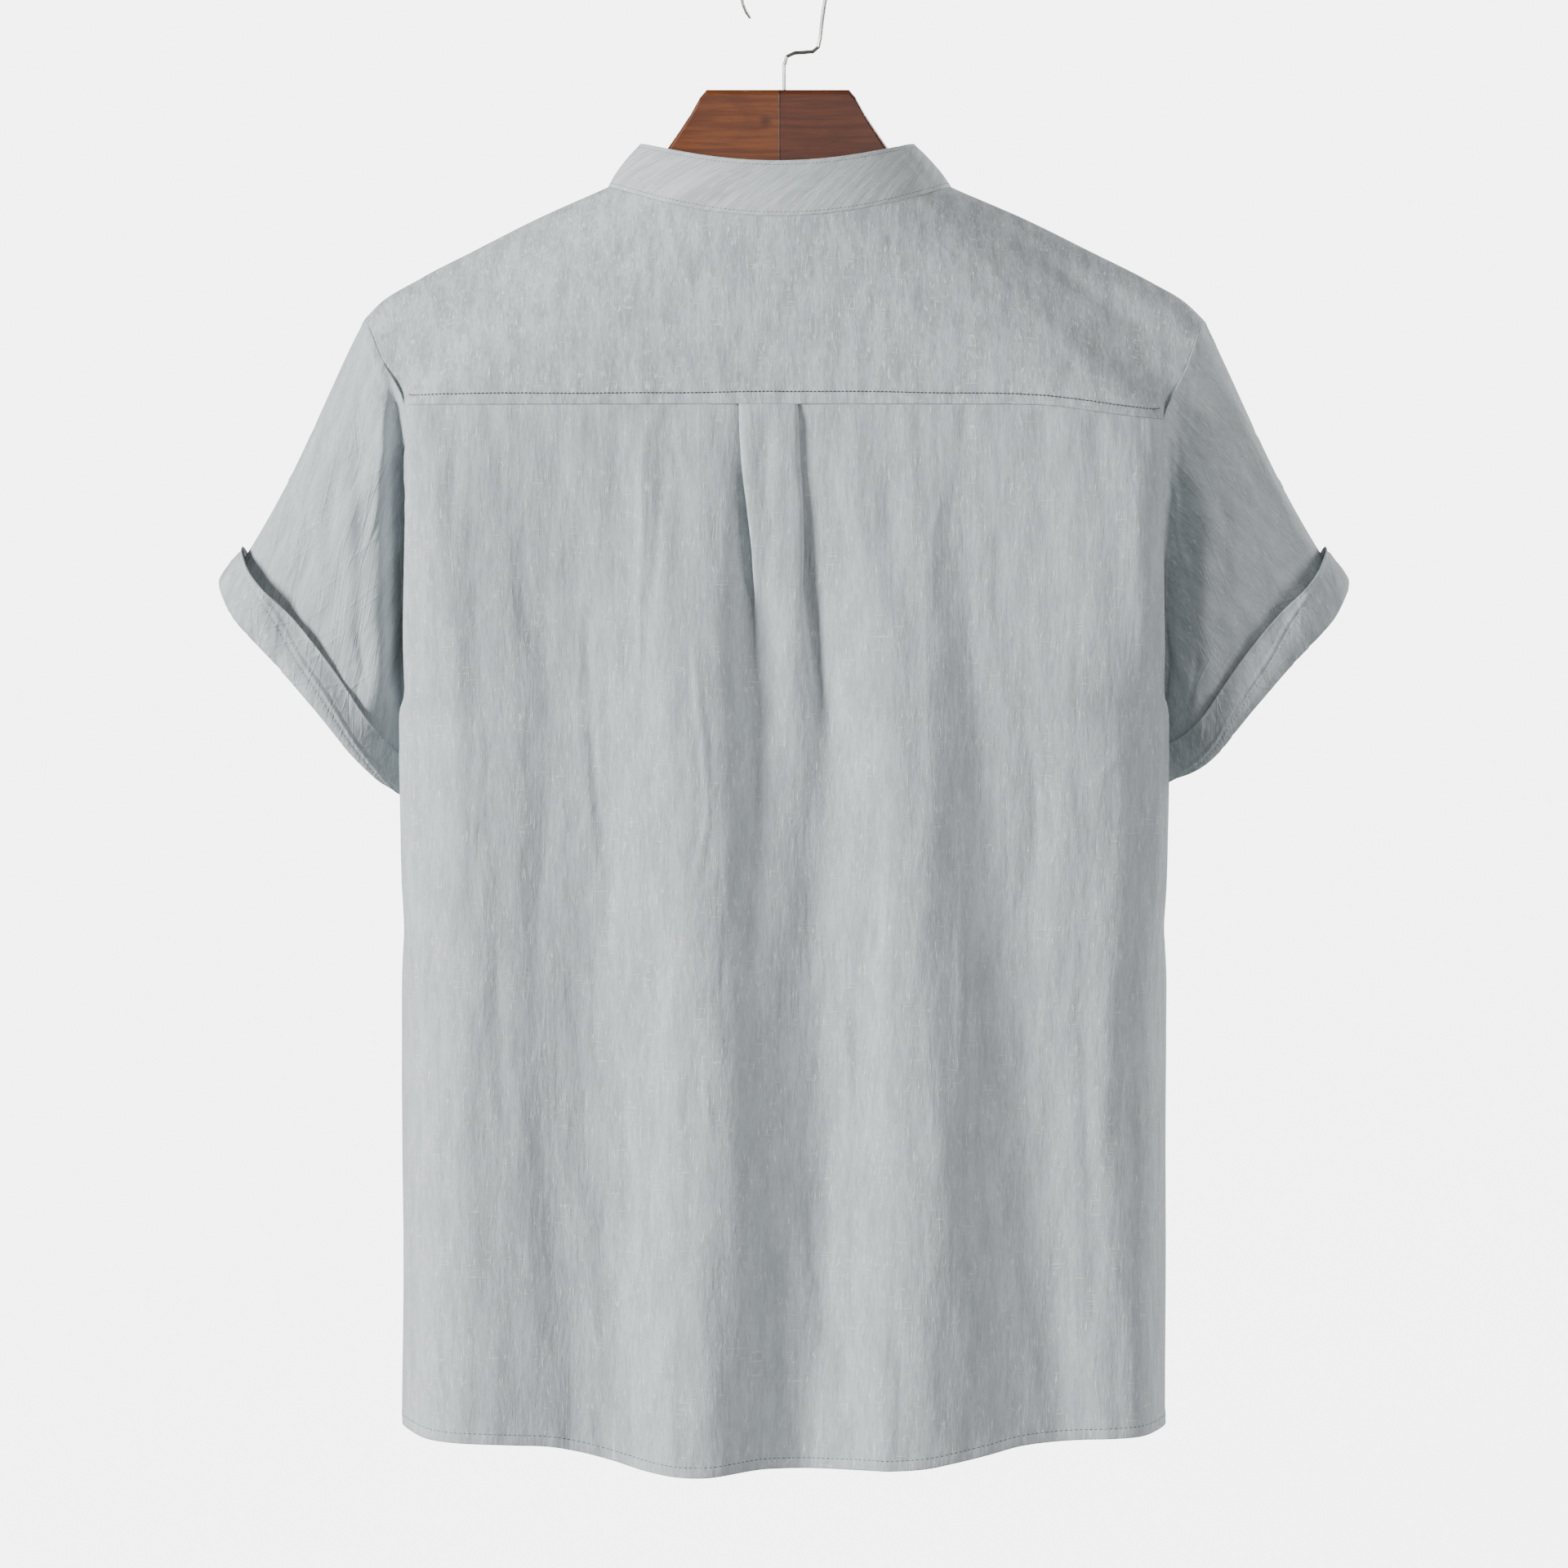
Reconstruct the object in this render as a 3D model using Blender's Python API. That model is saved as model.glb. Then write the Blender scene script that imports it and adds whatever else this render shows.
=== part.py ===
"""A men's shirt with a mandarin collar and turned-up short sleeves, hung on a wooden hanger.

The origin is the inside of the hook's top, where a rail carries it. +Z is up, the shirt's
front faces -Y and its wearer's left is +X. Sizes are in millimetres and meshes in metres.
Each cloth piece is a grid of points on the cloth's middle surface, made into a wall.
"""

import math

import bpy
import numpy as np

# ------------------------------------------------------------------ driving sizes, millimetres
MM = 0.001
CLOTH = 1.2                  # thickness of every cloth wall
SEAM_GAP = 0.3               # left open between two sewn pieces
LAP_GAP = 0.4                # between a piece and the panel that it lies on

HALF_WIDTH = 223.0           # of the body, from the underarms to the hem
CUT_POWER = 0.62             # roundness of the body's rings, 1 for an ellipse
SIDE_Y = -8.0                # side seams, which lie a little forward
PINCH_START = math.radians(72.0)   # where a ring turns in towards its side seam
HEM_SIDE = -864.0            # height of the hem at the side seams
YOKE_CENTRE = -270.0         # height of the yoke seam at the centre back
YOKE_LEVEL_LEFT, YOKE_LEVEL_RIGHT = 60.0, 82.0   # how far in from its ends that seam is level

NECK_X = 2.6                 # the neck and centre front, a little to the left of the hook
NECK_Y = -5.0
NECK_HALF = 100.5            # half width of the neckline
NECK_BACK, NECK_FRONT = 55.0, 57.0
NECK_SIDE_Z, NECK_BACK_Z, NECK_FRONT_Z = -139.0, -160.6, -206.0
COLLAR_X = 4.0
COLLAR_HALF = 80.0           # half width of the collar's top edge
COLLAR_BACK, COLLAR_FRONT = 47.0, 49.0
COLLAR_SIDE_Z, COLLAR_BACK_Z, COLLAR_FRONT_Z = -114.0, -127.7, -174.0
YOKE_NECK_FRONT = math.radians(113.8)   # neck angle of the seam in front of each shoulder
YOKE_NECK_BACK = math.radians(58.0)     # neck angle drawn to each end of the yoke seam

PLACKET_HALF = 16.0          # half width of the button band
STAND_REACH = 13.0           # how far the button stand runs on under it, past the centre
BAND_COLUMN = 5.5            # the bands' inner columns, each side of the centre
FLAT_REACH, LAP_REACH = 12.0, 18.0   # a front is flat, and stands off its lap, this far beside it
LAP_START, LAP_RUN = 1.9, 0.6        # the row where the lap begins, and the rows it takes
CHEST_ROUND = (0.25, 0.15)           # roundness of a front's top row, and its growth a row
COLLAR_OPEN = 2.5            # each collar end stops this far from the centre front
BUTTON_RADIUS, BUTTON_THICK = 5.6, 2.4
BUTTON_TOP, BUTTON_PITCH, BUTTONS = -222.0, 92.0, 7

CUFF_TIP, CUFF_END = (327.0, -373.0), (221.5, -490.0)   # the sleeve mouth's outer and inner ends
CUFF_Y, CUFF_DEPTH = -8.0, 30.0         # its middle and half depth, front to back
RIGHT_END_RISE = 7.0         # the right mouth's inner end is drawn up this much
CUFF_FULLNESS = (0.8, 0.9, 1.3)         # blunt at the outer end, 1 an ellipse, pinched below

WIRE = 1.1                   # radius of the hook's wire
HOOK_RADIUS = 25.0
HOOK_X = -0.2                # where the wire enters the wood
WOOD_X = 3.6                 # the hanger's own centre
WOOD_JOINT = 2.6             # where its halves meet
WOOD_TOP = -82.0


class Table:
    """Rows of named sizes; the first column is what the others are read against."""

    def __init__(self, columns, *rows):
        self.columns = columns.split()
        self.rows = np.array(rows, float)

    def __getitem__(self, name):
        return self.rows[:, self.columns.index(name)]

    def at(self, name, key):
        return curve(self.rows[:, 0], self[name], key)


# The body by height: depth at centre back and centre front, half width, and how far its side
# seams are pressed in beside the sleeves' ends.
BODY = Table("z    back  front  half   pinch",
             (-206, 55.0, -61.5, 231.0,  0.0),
             (-270, 60.0, -66.0, 220.8,  0.0),
             (-308, 63.5, -68.0, 221.0,  0.0),
             (-350, 67.0, -70.0, 222.0,  0.0),
             (-400, 71.0, -72.0, 222.6,  0.0),
             (-446, 74.0, -73.5, 223.0, 12.5),
             (-470, 75.0, -74.0, 223.0, 20.0),
             (-500, 75.5, -74.5, 223.0, 20.0),
             (-526, 76.0, -75.0, 223.0, 11.0),
             (-565, 76.5, -75.0, 223.0,  2.5),
             (-600, 77.0, -75.5, 223.0,  0.0),
             (-890, 79.0, -77.0, 223.0,  0.0))

# The left armhole, from the underarm up the front, over the shoulder and down the back.
ARMHOLE = Table("place x      y      z",
                (0,  210.5,  -8.0, -446.0),
                (1,  213.0, -25.0, -420.0),
                (2,  212.5, -36.0, -380.0),
                (3,  212.0, -41.0, -333.0),
                (4,  216.0, -41.0, -288.0),
                (5,  230.0, -32.0, -240.0),    # seam in front of the shoulder
                (6,  240.5, -20.0, -221.5),
                (7,  245.5,  -6.0, -215.5),    # top of the shoulder
                (8,  243.0,  10.0, -221.5),
                (9,  234.0,  24.0, -242.0),
                (10, 220.5,  36.0, -269.6),    # end of the yoke seam
                (11, 219.5,  39.0, -308.0),
                (12, 219.0,  37.0, -348.0),
                (13, 219.5,  29.0, -388.0),
                (14, 219.0,  13.0, -424.0))
PLACES = len(ARMHOLE.rows)
FRONT_SEAM, SHOULDER_TOP, YOKE_END = 5, 7, 10
RIGHT_YOKE_DROP = 8.0        # the yoke seam runs this much lower at its right end
UNDERARM_ROW, HEM_ROW = 5.0, 10.0    # panel rows are numbered 0 at the top to 10 at the hem

# The inner edge of a front: neck angles by row, then heights down the centre front.
FRONT_NECK = Table("row angle", (0.0, 113.8), (0.5, 119.0), (1.0, 126.0), (1.5, 135.0),
                   (2.0, 148.0))
CENTRE_ROW = 2.5             # the row that starts where the neckline meets the button band
FRONT_CENTRE = Table("row z", (2.5, -206), (3.5, -297), (5, -440))
FRONT_BULGE = Table("row out", (0, 0), (1, 6), (2, 9), (3, 8), (4, 4), (5, 0))

# Lower edge of the body at the back and at the front.
BACK_HEM = Table("x   z",
                 (-223, -864.0), (-205, -867.0), (-165, -869.0), (-137, -871.5), (-108, -878.0),
                 (-65, -884.0), (-22, -884.0), (8, -884.0), (51, -888.0), (78, -885.0),
                 (108, -877.5), (136, -872.0), (165, -870.5), (200, -869.0), (223, -864.0))
FRONT_HEM = Table("x z", (-223, -864), (-130, -867), (0, -874), (130, -867), (223, -864))

# Soft folds that hang from the yoke and chest: where each crest (+) and hollow (-) runs at
# four heights, and how far it stands out there.
FOLD_HEIGHTS = (-300.0, -520.0, -700.0, -885.0)
FOLD_START, FOLD_GROWTH = -255.0, 120.0   # height where the folds begin, and their growth below it
FOLD_MARGIN = 25.0           # degrees of the body's ring in which they die away at a side seam
BACK_FOLDS = Table("fold x1    x2    x3    x4    out1  out2  out3   out4",
                   (0,  -205, -208, -208, -208,  4.0,  9.0,  11.5,  11.5),
                   (1,  -104, -123, -136, -160, -1.0, -5.5,  -7.5,  -9.0),
                   (2,   -66,  -74,  -78,  -69,  2.0,  7.0,   9.0,   9.5),
                   (3,   -12,  -20,  -20,  -10, -0.5, -9.0, -10.5, -11.0),
                   (4,    62,   50,   44,   52,  2.0,  8.5,  10.0,  10.5),
                   (5,   126,  113,  108,  107, -1.5, -9.5, -12.0, -12.5),
                   (6,   204,  203,  202,  201,  4.0, 10.0,  12.5,  12.5))
FRONT_FOLDS = Table("fold x1    x2    x3    x4    out1  out2 out3  out4",
                    (0, -188, -182, -180, -184,  0.5,  4.0,  5.5,  6.0),
                    (1, -122, -128, -132, -128, -0.5, -4.5, -7.0, -8.0),
                    (2,  -72,  -76,  -80,  -74,  1.0,  4.0,  6.5,  8.0),
                    (3,  -22,  -24,  -24,  -24,  0.0, -1.5, -2.5, -3.0),
                    (4,   22,   24,   24,   24,  0.0, -1.5, -2.5, -3.0),
                    (5,   78,   70,   68,   76,  1.5,  5.0,  7.0,  7.5),
                    (6,  130,  124,  118,  122, -0.5, -5.0, -7.5, -8.5),
                    (7,  190,  182,  178,  184,  0.5,  4.5,  6.0,  6.5))

# One side of the box pleat in plan, from the panel to the middle of the raised strip: distances
# from the fold's edge towards the strip, first sewn shut under the yoke and then fallen open.
PLEAT_SIDE = Table("point shut   open",
                   (0,  -16.0, -27.0),
                   (1,   -7.0, -20.0),
                   (2,    2.0, -14.0),
                   (3,    9.0,  -9.5),
                   (4,   13.0,  -6.0),
                   (5,   14.6,  -3.5),
                   (6,   13.0,  -1.5),
                   (7,    8.0,   0.5),
                   (8,    2.0,   2.5),
                   (9,    0.0,   5.0),
                   (10,   2.0,   8.0),
                   (11,   8.0,  11.5))
# Where the strip's two fold edges run, and how far each of its sides is still shut.
PLEAT_RUN = Table("z   left   right  shut_left shut_right strip",
                  (-264, 26.2,  -7.8, 1.00, 1.00, 2.3),
                  (-300, 24.4,  -8.6, 0.97, 0.97, 2.2),
                  (-336, 21.6, -11.2, 0.80, 0.86, 2.2),
                  (-368, 20.0, -12.6, 0.45, 0.60, 1.7),
                  (-390, 19.1, -13.9, 0.20, 0.34, 0.1),
                  (-437, 16.7, -18.6, 0.00, 0.12, -1.2),
                  (-470, 15.5, -22.6, 0.00, 0.00, 0.2),
                  (-520, 15.0, -25.0, 0.00, 0.00, 0.1),
                  (-560, 15.0, -25.0, 0.00, 0.00, 0.0),
                  (-890, 15.0, -25.0, 0.00, 0.00, 0.0))
# How far each point of the two sides stands out from the body, down the pleat.
PLEAT_LEFT = Table("z  out0 out1 out2 out3 out4 out5 out6 out7 out8 out9 out10 out11",
                   (-264, 0.0, -1.0, -2.0, -2.1, -1.9, -1.1, -0.2, -0.1, 0.1, 1.1, 2.0, 2.2),
                   (-285, 0.2, -0.7, -2.6, -2.8, -2.5, -1.6, -0.5, -0.3, 0.0, 1.0, 1.8, 2.1),
                   (-300, 0.3, -0.5, -3.7, -4.4, -4.1, -2.9, -1.4, -0.9, -0.3, 0.8, 1.6, 1.9),
                   (-336, 0.4, -0.9, -5.3, -6.4, -6.1, -4.6, -2.7, -1.8, -0.9, 0.3, 1.1, 1.3),
                   (-368, 0.5, -0.7, -4.1, -7.0, -7.6, -6.6, -4.9, -3.7, -2.4, -1.3, -0.5, -0.1),
                   (-390, 0.5, -0.3, -3.2, -6.5, -8.1, -8.3, -8.0, -7.5, -6.8, -6.0, -5.1, -4.0),
                   (-437, 0.4, -0.2, -2.2, -4.4, -5.9, -6.6, -6.8, -6.7, -6.4, -5.8, -4.8, -3.5),
                   (-470, 0.2, -0.2, -1.5, -3.2, -4.3, -4.9, -5.1, -5.0, -4.6, -3.9, -2.9, -1.7),
                   (-520, 0.1, -0.2, -1.0, -2.0, -2.7, -3.1, -3.2, -3.0, -2.6, -2.0, -1.2, -0.5),
                   (-560, 0.0, -0.1, -0.6, -1.2, -1.6, -1.8, -1.9, -1.7, -1.4, -1.0, -0.6, -0.2),
                   (-640, 0.0, 0.0, -0.2, -0.5, -0.7, -0.8, -0.8, -0.7, -0.5, -0.3, -0.1, 0.0),
                   (-720, 0.0, 0.0, 0.0, 0.0, 0.0, 0.0, 0.0, 0.0, 0.0, 0.0, 0.0, 0.0),
                   (-890, 0.0, 0.0, 0.0, 0.0, 0.0, 0.0, 0.0, 0.0, 0.0, 0.0, 0.0, 0.0))
PLEAT_RIGHT = Table("z  out0 out1 out2 out3 out4 out5 out6 out7 out8 out9 out10 out11",
                    (-264, 0.0, -1.0, -2.0, -2.1, -1.9, -1.1, -0.2, -0.1, 0.1, 1.1, 2.0, 2.2),
                    (-300, 0.0, -1.0, -2.0, -2.1, -1.9, -1.1, -0.2, 0.0, 0.2, 1.2, 2.0, 2.2),
                    (-336, 0.0, -1.1, -2.3, -2.7, -2.5, -1.4, -0.2, 0.1, 0.5, 1.7, 2.5, 2.7),
                    (-368, 0.0, -1.2, -2.7, -3.4, -3.1, -1.8, -0.5, 0.1, 0.8, 2.2, 3.1, 3.0),
                    (-390, 0.0, -1.3, -3.0, -4.1, -4.1, -3.1, -1.6, -0.3, 0.9, 2.1, 2.8, 2.6),
                    (-437, 0.0, -1.3, -3.3, -4.5, -4.7, -4.1, -3.0, -1.8, -0.7, 0.1, 0.4, 0.3),
                    (-470, 0.0, -0.6, -1.6, -2.3, -2.3, -1.9, -1.2, -0.4, 0.4, 1.0, 1.2, 1.0),
                    (-520, 0.0, -0.1, -0.3, -0.4, -0.4, -0.2, 0.0, 0.2, 0.3, 0.4, 0.4, 0.3),
                    (-560, 0.0, 0.0, 0.0, 0.0, 0.0, 0.0, 0.0, 0.0, 0.0, 0.0, 0.0, 0.0),
                    (-890, 0.0, 0.0, 0.0, 0.0, 0.0, 0.0, 0.0, 0.0, 0.0, 0.0, 0.0, 0.0))
PLEAT_REACH = 62.0           # the pleat's own columns begin this far from the centre back

YOKE_LIFT = Table("across rise", (0, 0), (0.026, 2.7), (0.116, 5.4), (0.235, 5.9), (0.5, 5.1),
                  (0.76, 3.8), (0.913, 1.7), (1, 0))

# The turned-up sleeve end, as a section from the free upper edge round the fold at the bottom.
CUFF_SECTION = Table("point up     out",
                     (0,  24.0,  3.0),
                     (1,  15.0,  5.0),
                     (2,   6.0,  6.4),
                     (3,  -0.5,  5.8),
                     (4,  -3.2,  2.8),
                     (5,  -0.6,  0.4))
# Round the mouth from its outer end (0) along the back (+1) or front (-1) to the underarm: how
# wide the turn-up is, how far its free edge stands off the sleeve, and how full its roll is.
CUFF_ROUND = Table("round width stand roll",
                   (-1.0,  0.66, 0.0, 0.50),
                   (-0.85, 0.74, 0.0, 0.60),
                   (-0.6,  0.90, 3.0, 1.00),
                   (-0.3,  1.00, 7.0, 1.00),
                   (0.0,   1.00, 0.5, 1.00),
                   (0.2,   1.00, 8.0, 1.00),
                   (0.4,   1.00, 6.0, 1.00),
                   (0.65,  0.92, 2.0, 1.00),
                   (0.85,  0.78, 0.2, 0.65),
                   (1.0,   0.66, 0.0, 0.50))
# How far the mouth's edge bows outward, from its underarm end (-1) to its outer end (1).
CUFF_BOW = Table("along out", (-1.0, 3.0), (-0.86, 7.5), (-0.6, 8.5), (-0.2, 6.0), (0.3, 5.0),
                 (0.7, 6.0), (0.88, 4.0), (1.0, 0.0))
SLEEVE_DRAW = 4.0            # how far the sleeve's outer line draws in above the turned-up end
SLEEVE_FULL = 7.0            # how far the sleeve's front and back fill out half way along
COLLAR_FULL = 1.5            # how far the collar bows outward between its edges
SLEEVE_HOLLOW = 16.6         # depth of the hollow in the sleeve beside the body's edge
SLEEVE_HOLLOW_AT = 0.10      # its place, as a share of the sleeve's length
HOLLOW_BEHIND = (9.0, 5.3)   # armhole places where it starts at the back, and how many it spans
HOLLOW_BEFORE = (0.8, 5.0)   # the same at the front
HOLLOW_POWER = 1.2           # how narrow it is round the sleeve
UNDERARM_EASE = 0.5          # extra gap at the sleeve's seam there
SLEEVE_SHELF = 7.0           # how far the underarm stands away from the body before it drops

# The wooden hanger's right half, measured out from its own centre.
WOOD = Table("x    top     bottom  y     half_y corner",
             (0.0,  -82.0, -150.0, -5.0, 11.5, 3.0),
             (30.0, -82.0, -153.0, -5.0, 11.5, 3.0),
             (41.8, -82.0, -155.5, -5.0, 11.5, 3.0),
             (45.8, -86.6, -156.5, -5.0, 11.5, 3.0),
             (51.0, -96.0, -158.0, -5.0, 11.4, 3.2),
             (57.5, -105.8, -160.0, -5.0, 11.2, 3.5),
             (66.0, -118.0, -163.0, -5.0, 11.0, 4.0),
             (80.0, -133.0, -169.0, -5.0, 10.5, 5.0),
             (96.0, -146.5, -177.0, -5.0, 10.0, 6.0),
             (120.0, -156.0, -190.0, -5.5, 10.0, 7.0),
             (150.0, -170.0, -206.0, -6.0, 10.5, 8.0),
             (185.0, -187.5, -224.0, -7.0, 11.5, 9.0),
             (208.0, -200.0, -233.0, -7.5, 11.5, 9.0),
             (218.0, -208.0, -234.0, -8.0, 9.5, 8.0),
             (223.0, -216.0, -230.0, -8.0, 5.0, 4.5))

# A button's outline, as shares of its radius and thickness: flat back, rounded rim, dished face.
BUTTON = Table("point radius height",
               (0, 0.72, 0.0), (1, 1.0, 0.35), (2, 1.0, 0.75), (3, 0.9, 1.0), (4, 0.74, 1.0),
               (5, 0.62, 0.78))

# ------------------------------------------------------------------ stations of the solids
SIDE_STATIONS = 12           # columns from each side seam to the pleat
FRONT_STATIONS = 15          # columns from the button band to each side
UPPER_ROWS = np.arange(0.0, 5.01, 0.5)
LOWER_ROWS = np.array([5.25, 5.5, 5.8, 6.2, 6.7, 7.3, 8.0, 8.7, 9.35, 10.0])
YOKE_ROWS = np.array([0.0, 0.06, 0.2, 0.45, 0.72, 1.0])
YOKE_ROUNDING = (0, 1, 3, 8, 12, 12)  # how often each row's corner at the yoke seam is softened
YOKE_MIDDLE = np.linspace(45.0, -45.0, 6)   # its columns across the pleat
COLLAR_ROWS = np.array([0.0, 0.33, 0.67, 1.0])
SLEEVE_ROWS = np.array([0.0, 0.04, 0.10, 0.17, 0.27, 0.42, 0.60, 0.80, 1.0])
WIRE_SIDES = 8
FINE_STEPS = 600             # steps used to measure along a curve

COLOURS = {
    "cloth": (0.44, 0.475, 0.485),
    "collar": (0.47, 0.505, 0.52),
    "button": (0.55, 0.55, 0.52),
    "wood_left": (0.30, 0.075, 0.012),
    "wood_right": (0.20, 0.042, 0.009),
    "wire": (0.55, 0.53, 0.48),
}


# ------------------------------------------------------------------ curves and tables
def curve(keys, values, at):
    """Smooth curve through (keys, values) that never overshoots them, held level past its ends."""
    order = np.argsort(keys)
    keys = np.asarray(keys, float)[order]
    values = np.asarray(values, float)[order]
    step = np.diff(keys)
    slope = np.diff(values) / step
    bend = np.zeros_like(values)
    bend[0], bend[-1] = slope[0], slope[-1]
    before, after = slope[:-1], slope[1:]
    agree = before * after > 0
    weight_1 = 2 * step[1:] + step[:-1]
    weight_2 = step[1:] + 2 * step[:-1]
    harmonic = (weight_1 + weight_2) / (weight_1 / np.where(agree, before, 1)
                                        + weight_2 / np.where(agree, after, 1))
    bend[1:-1] = np.where(agree, harmonic, 0)
    at = np.clip(np.asarray(at, float), keys[0], keys[-1])
    left = np.clip(np.searchsorted(keys, at, side="right") - 1, 0, len(keys) - 2)
    t = (at - keys[left]) / step[left]
    return ((1 + 2 * t) * (1 - t) ** 2 * values[left]
            + t * (1 - t) ** 2 * step[left] * bend[left]
            + t * t * (3 - 2 * t) * values[left + 1]
            + t * t * (t - 1) * step[left] * bend[left + 1])


def soft_step(t):
    t = np.clip(t, 0.0, 1.0)
    return t * t * (3 - 2 * t)


def unit(vectors):
    return vectors / np.maximum(np.linalg.norm(vectors, axis=-1, keepdims=True), 1e-9)


def armhole_point(place, side):
    """Point of an armhole seam; whole numbers are the table's rows, and it closes on itself."""
    points = ARMHOLE.rows[:, 1:]
    start = math.floor(place)
    t = place - start
    p0, p1, p2, p3 = (points[(start + shift) % PLACES] for shift in (-1, 0, 1, 2))
    point = 0.5 * (2 * p1 + (p2 - p0) * t + (2 * p0 - 5 * p1 + 4 * p2 - p3) * t * t
                   + (3 * p1 - p0 - 3 * p2 + p3) * t ** 3)
    if side < 0:
        point = point * (-1, 1, 1)
        point[2] -= RIGHT_YOKE_DROP * math.exp(-((place - YOKE_END) / 1.6) ** 2)
    return point


def neck_point(angle):
    """Point of the neckline; the angle is 0 at the centre back and positive on the left."""
    along = math.cos(angle)
    reach, low = (NECK_BACK, NECK_BACK_Z) if along > 0 else (NECK_FRONT, NECK_FRONT_Z)
    return np.array((NECK_X + NECK_HALF * math.sin(angle),
                     NECK_Y + reach * along,
                     NECK_SIDE_Z + (low - NECK_SIDE_Z) * along * along))


def collar_top(angle):
    """Point of the collar's upper edge, whose front corners are rounded off."""
    along = math.cos(angle)
    reach, low = (COLLAR_BACK, COLLAR_BACK_Z) if along > 0 else (COLLAR_FRONT, COLLAR_FRONT_Z)
    top = np.array((COLLAR_X + COLLAR_HALF * math.sin(angle),
                    NECK_Y + reach * along,
                    COLLAR_SIDE_Z + (low - COLLAR_SIDE_Z) * along * along))
    corner = soft_step((abs(angle) - math.radians(166)) / math.radians(14))
    return top + (neck_point(angle) - top) * 0.5 * corner


# ------------------------------------------------------------------ the body
def quarter_stations(count):
    """Angles that part a quarter of the body's ring evenly, from its centre to its side."""
    fine = np.linspace(0, math.pi / 2, FINE_STEPS)
    x = HALF_WIDTH * np.sin(fine) ** CUT_POWER
    y = BODY["back"][-1] * np.cos(fine) ** CUT_POWER
    length = np.concatenate(([0], np.cumsum(np.hypot(np.diff(x), np.diff(y)))))
    return np.interp(np.linspace(0, 1, count + 1) * length[-1], length, fine)


def ring_x(angle, half, side_x):
    """Distance out along a ring that is `half` wide and pressed in to `side_x` at its seam."""
    fine = np.linspace(0.6 * math.pi / 2, math.pi / 2, 90)

    def shape(at, size):
        turn = soft_step((at - PINCH_START) / (math.pi / 2 - PINCH_START))
        return size * np.sin(at) ** CUT_POWER - turn * (size - side_x)

    size = half
    for _ in range(4):
        size *= half / shape(fine, size).max()
    return float(shape(angle, size))


def ring_depth(reach):
    """Share of a ring's depth that is left at a share of its half width."""
    return max(1 - abs(reach) ** (2 / CUT_POWER), 0) ** (CUT_POWER / 2)


def ring_half(edge, full):
    """Half width of the ring that ends at a panel's edge; `full` is how far it swells past it."""
    return abs(edge[0]) + max(float(BODY.at("half", edge[2])) - abs(edge[0]), 0) * full


def folds(table, x, z):
    """How far the hanging folds stand out at (x, z)."""
    crests = [curve(FOLD_HEIGHTS, [table["x%d" % n][row] for n in (1, 2, 3, 4)], z)
              for row in range(len(table.rows))]
    heights = [curve(FOLD_HEIGHTS, [table["out%d" % n][row] for n in (1, 2, 3, 4)], z)
               for row in range(len(table.rows))]
    keys = np.array([-HALF_WIDTH] + [float(c) for c in crests] + [HALF_WIDTH])
    values = np.array([0.0] + [float(h) for h in heights] + [0.0])
    place = int(np.clip(np.searchsorted(keys, x) - 1, 0, len(keys) - 2))
    t = soft_step((x - keys[place]) / (keys[place + 1] - keys[place]))
    fade = soft_step((FOLD_START - z) / FOLD_GROWTH)
    return float(values[place] + (values[place + 1] - values[place]) * t) * fade


def edge_point(row, side, behind):
    """Outer edge of a body panel: its armhole down to the underarm, then the side seam."""
    if row <= UNDERARM_ROW:
        place = YOKE_END + row if behind else FRONT_SEAM - row
        return armhole_point(place % PLACES, side)
    top = armhole_point(0, side)
    z = top[2] + (HEM_SIDE - top[2]) * (row - UNDERARM_ROW) / (HEM_ROW - UNDERARM_ROW)
    return np.array((side * float(BODY.at("half", z) - BODY.at("pinch", z)), SIDE_Y, z))


def row_height(x, row, behind):
    """Height of a body row at x, between its two edges and down to the curved hem."""
    hem = BACK_HEM if behind else FRONT_HEM
    left = edge_point(min(row, UNDERARM_ROW), 1, behind)
    right = edge_point(min(row, UNDERARM_ROW), -1, behind)
    across = (left[0] - x) / (left[0] - right[0])
    z = left[2] + (right[2] - left[2]) * across
    if row > UNDERARM_ROW:
        share = (row - UNDERARM_ROW) / (HEM_ROW - UNDERARM_ROW)
        hem_x = x * HALF_WIDTH / abs(edge_point(row, 1, behind)[0])
        return z + (float(hem.at("z", hem_x)) - z) * share
    if behind:
        seam_left, seam_right = edge_point(0, 1, True), edge_point(0, -1, True)
        level = seam_left[2]
        level += (YOKE_CENTRE - level) * soft_step((seam_left[0] - x) / YOKE_LEVEL_LEFT)
        level += (seam_right[2] - YOKE_CENTRE) * soft_step(1 - (x - seam_right[0]) / YOKE_LEVEL_RIGHT)
        straight = seam_left[2] + (seam_right[2] - seam_left[2]) * across
        z += (level - straight) * (1 - row / UNDERARM_ROW) ** 2
    return z


def side_fade(angle):
    """Share of the folds that is left at a ring angle, which is a quarter turn at the side."""
    return min(1, (90 - math.degrees(angle)) / FOLD_MARGIN)


def back_side_point(angle, side, row):
    """Point of the back between a side seam (a quarter turn) and the pleat."""
    edge = edge_point(row, side, True)
    x = side * ring_x(angle, ring_half(edge, 0.5 + 0.5 * soft_step(row - 4)), abs(edge[0]))
    z = row_height(x, row, True)
    depth = float(BODY.at("back", z))
    y = edge[1] + (depth - edge[1]) * math.cos(angle) ** CUT_POWER
    return np.array((x, y + folds(BACK_FOLDS, x, z) * side_fade(angle), z))


def back_middle_point(x, out, row):
    """Point of the back at x, standing `out` from the ring."""
    edge = edge_point(row, 1, True)
    z = row_height(x, row, True)
    y = edge[1] + (float(BODY.at("back", z)) - edge[1]) * ring_depth(x / HALF_WIDTH)
    return np.array((x, y + folds(BACK_FOLDS, x, z) + out, z))


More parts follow.
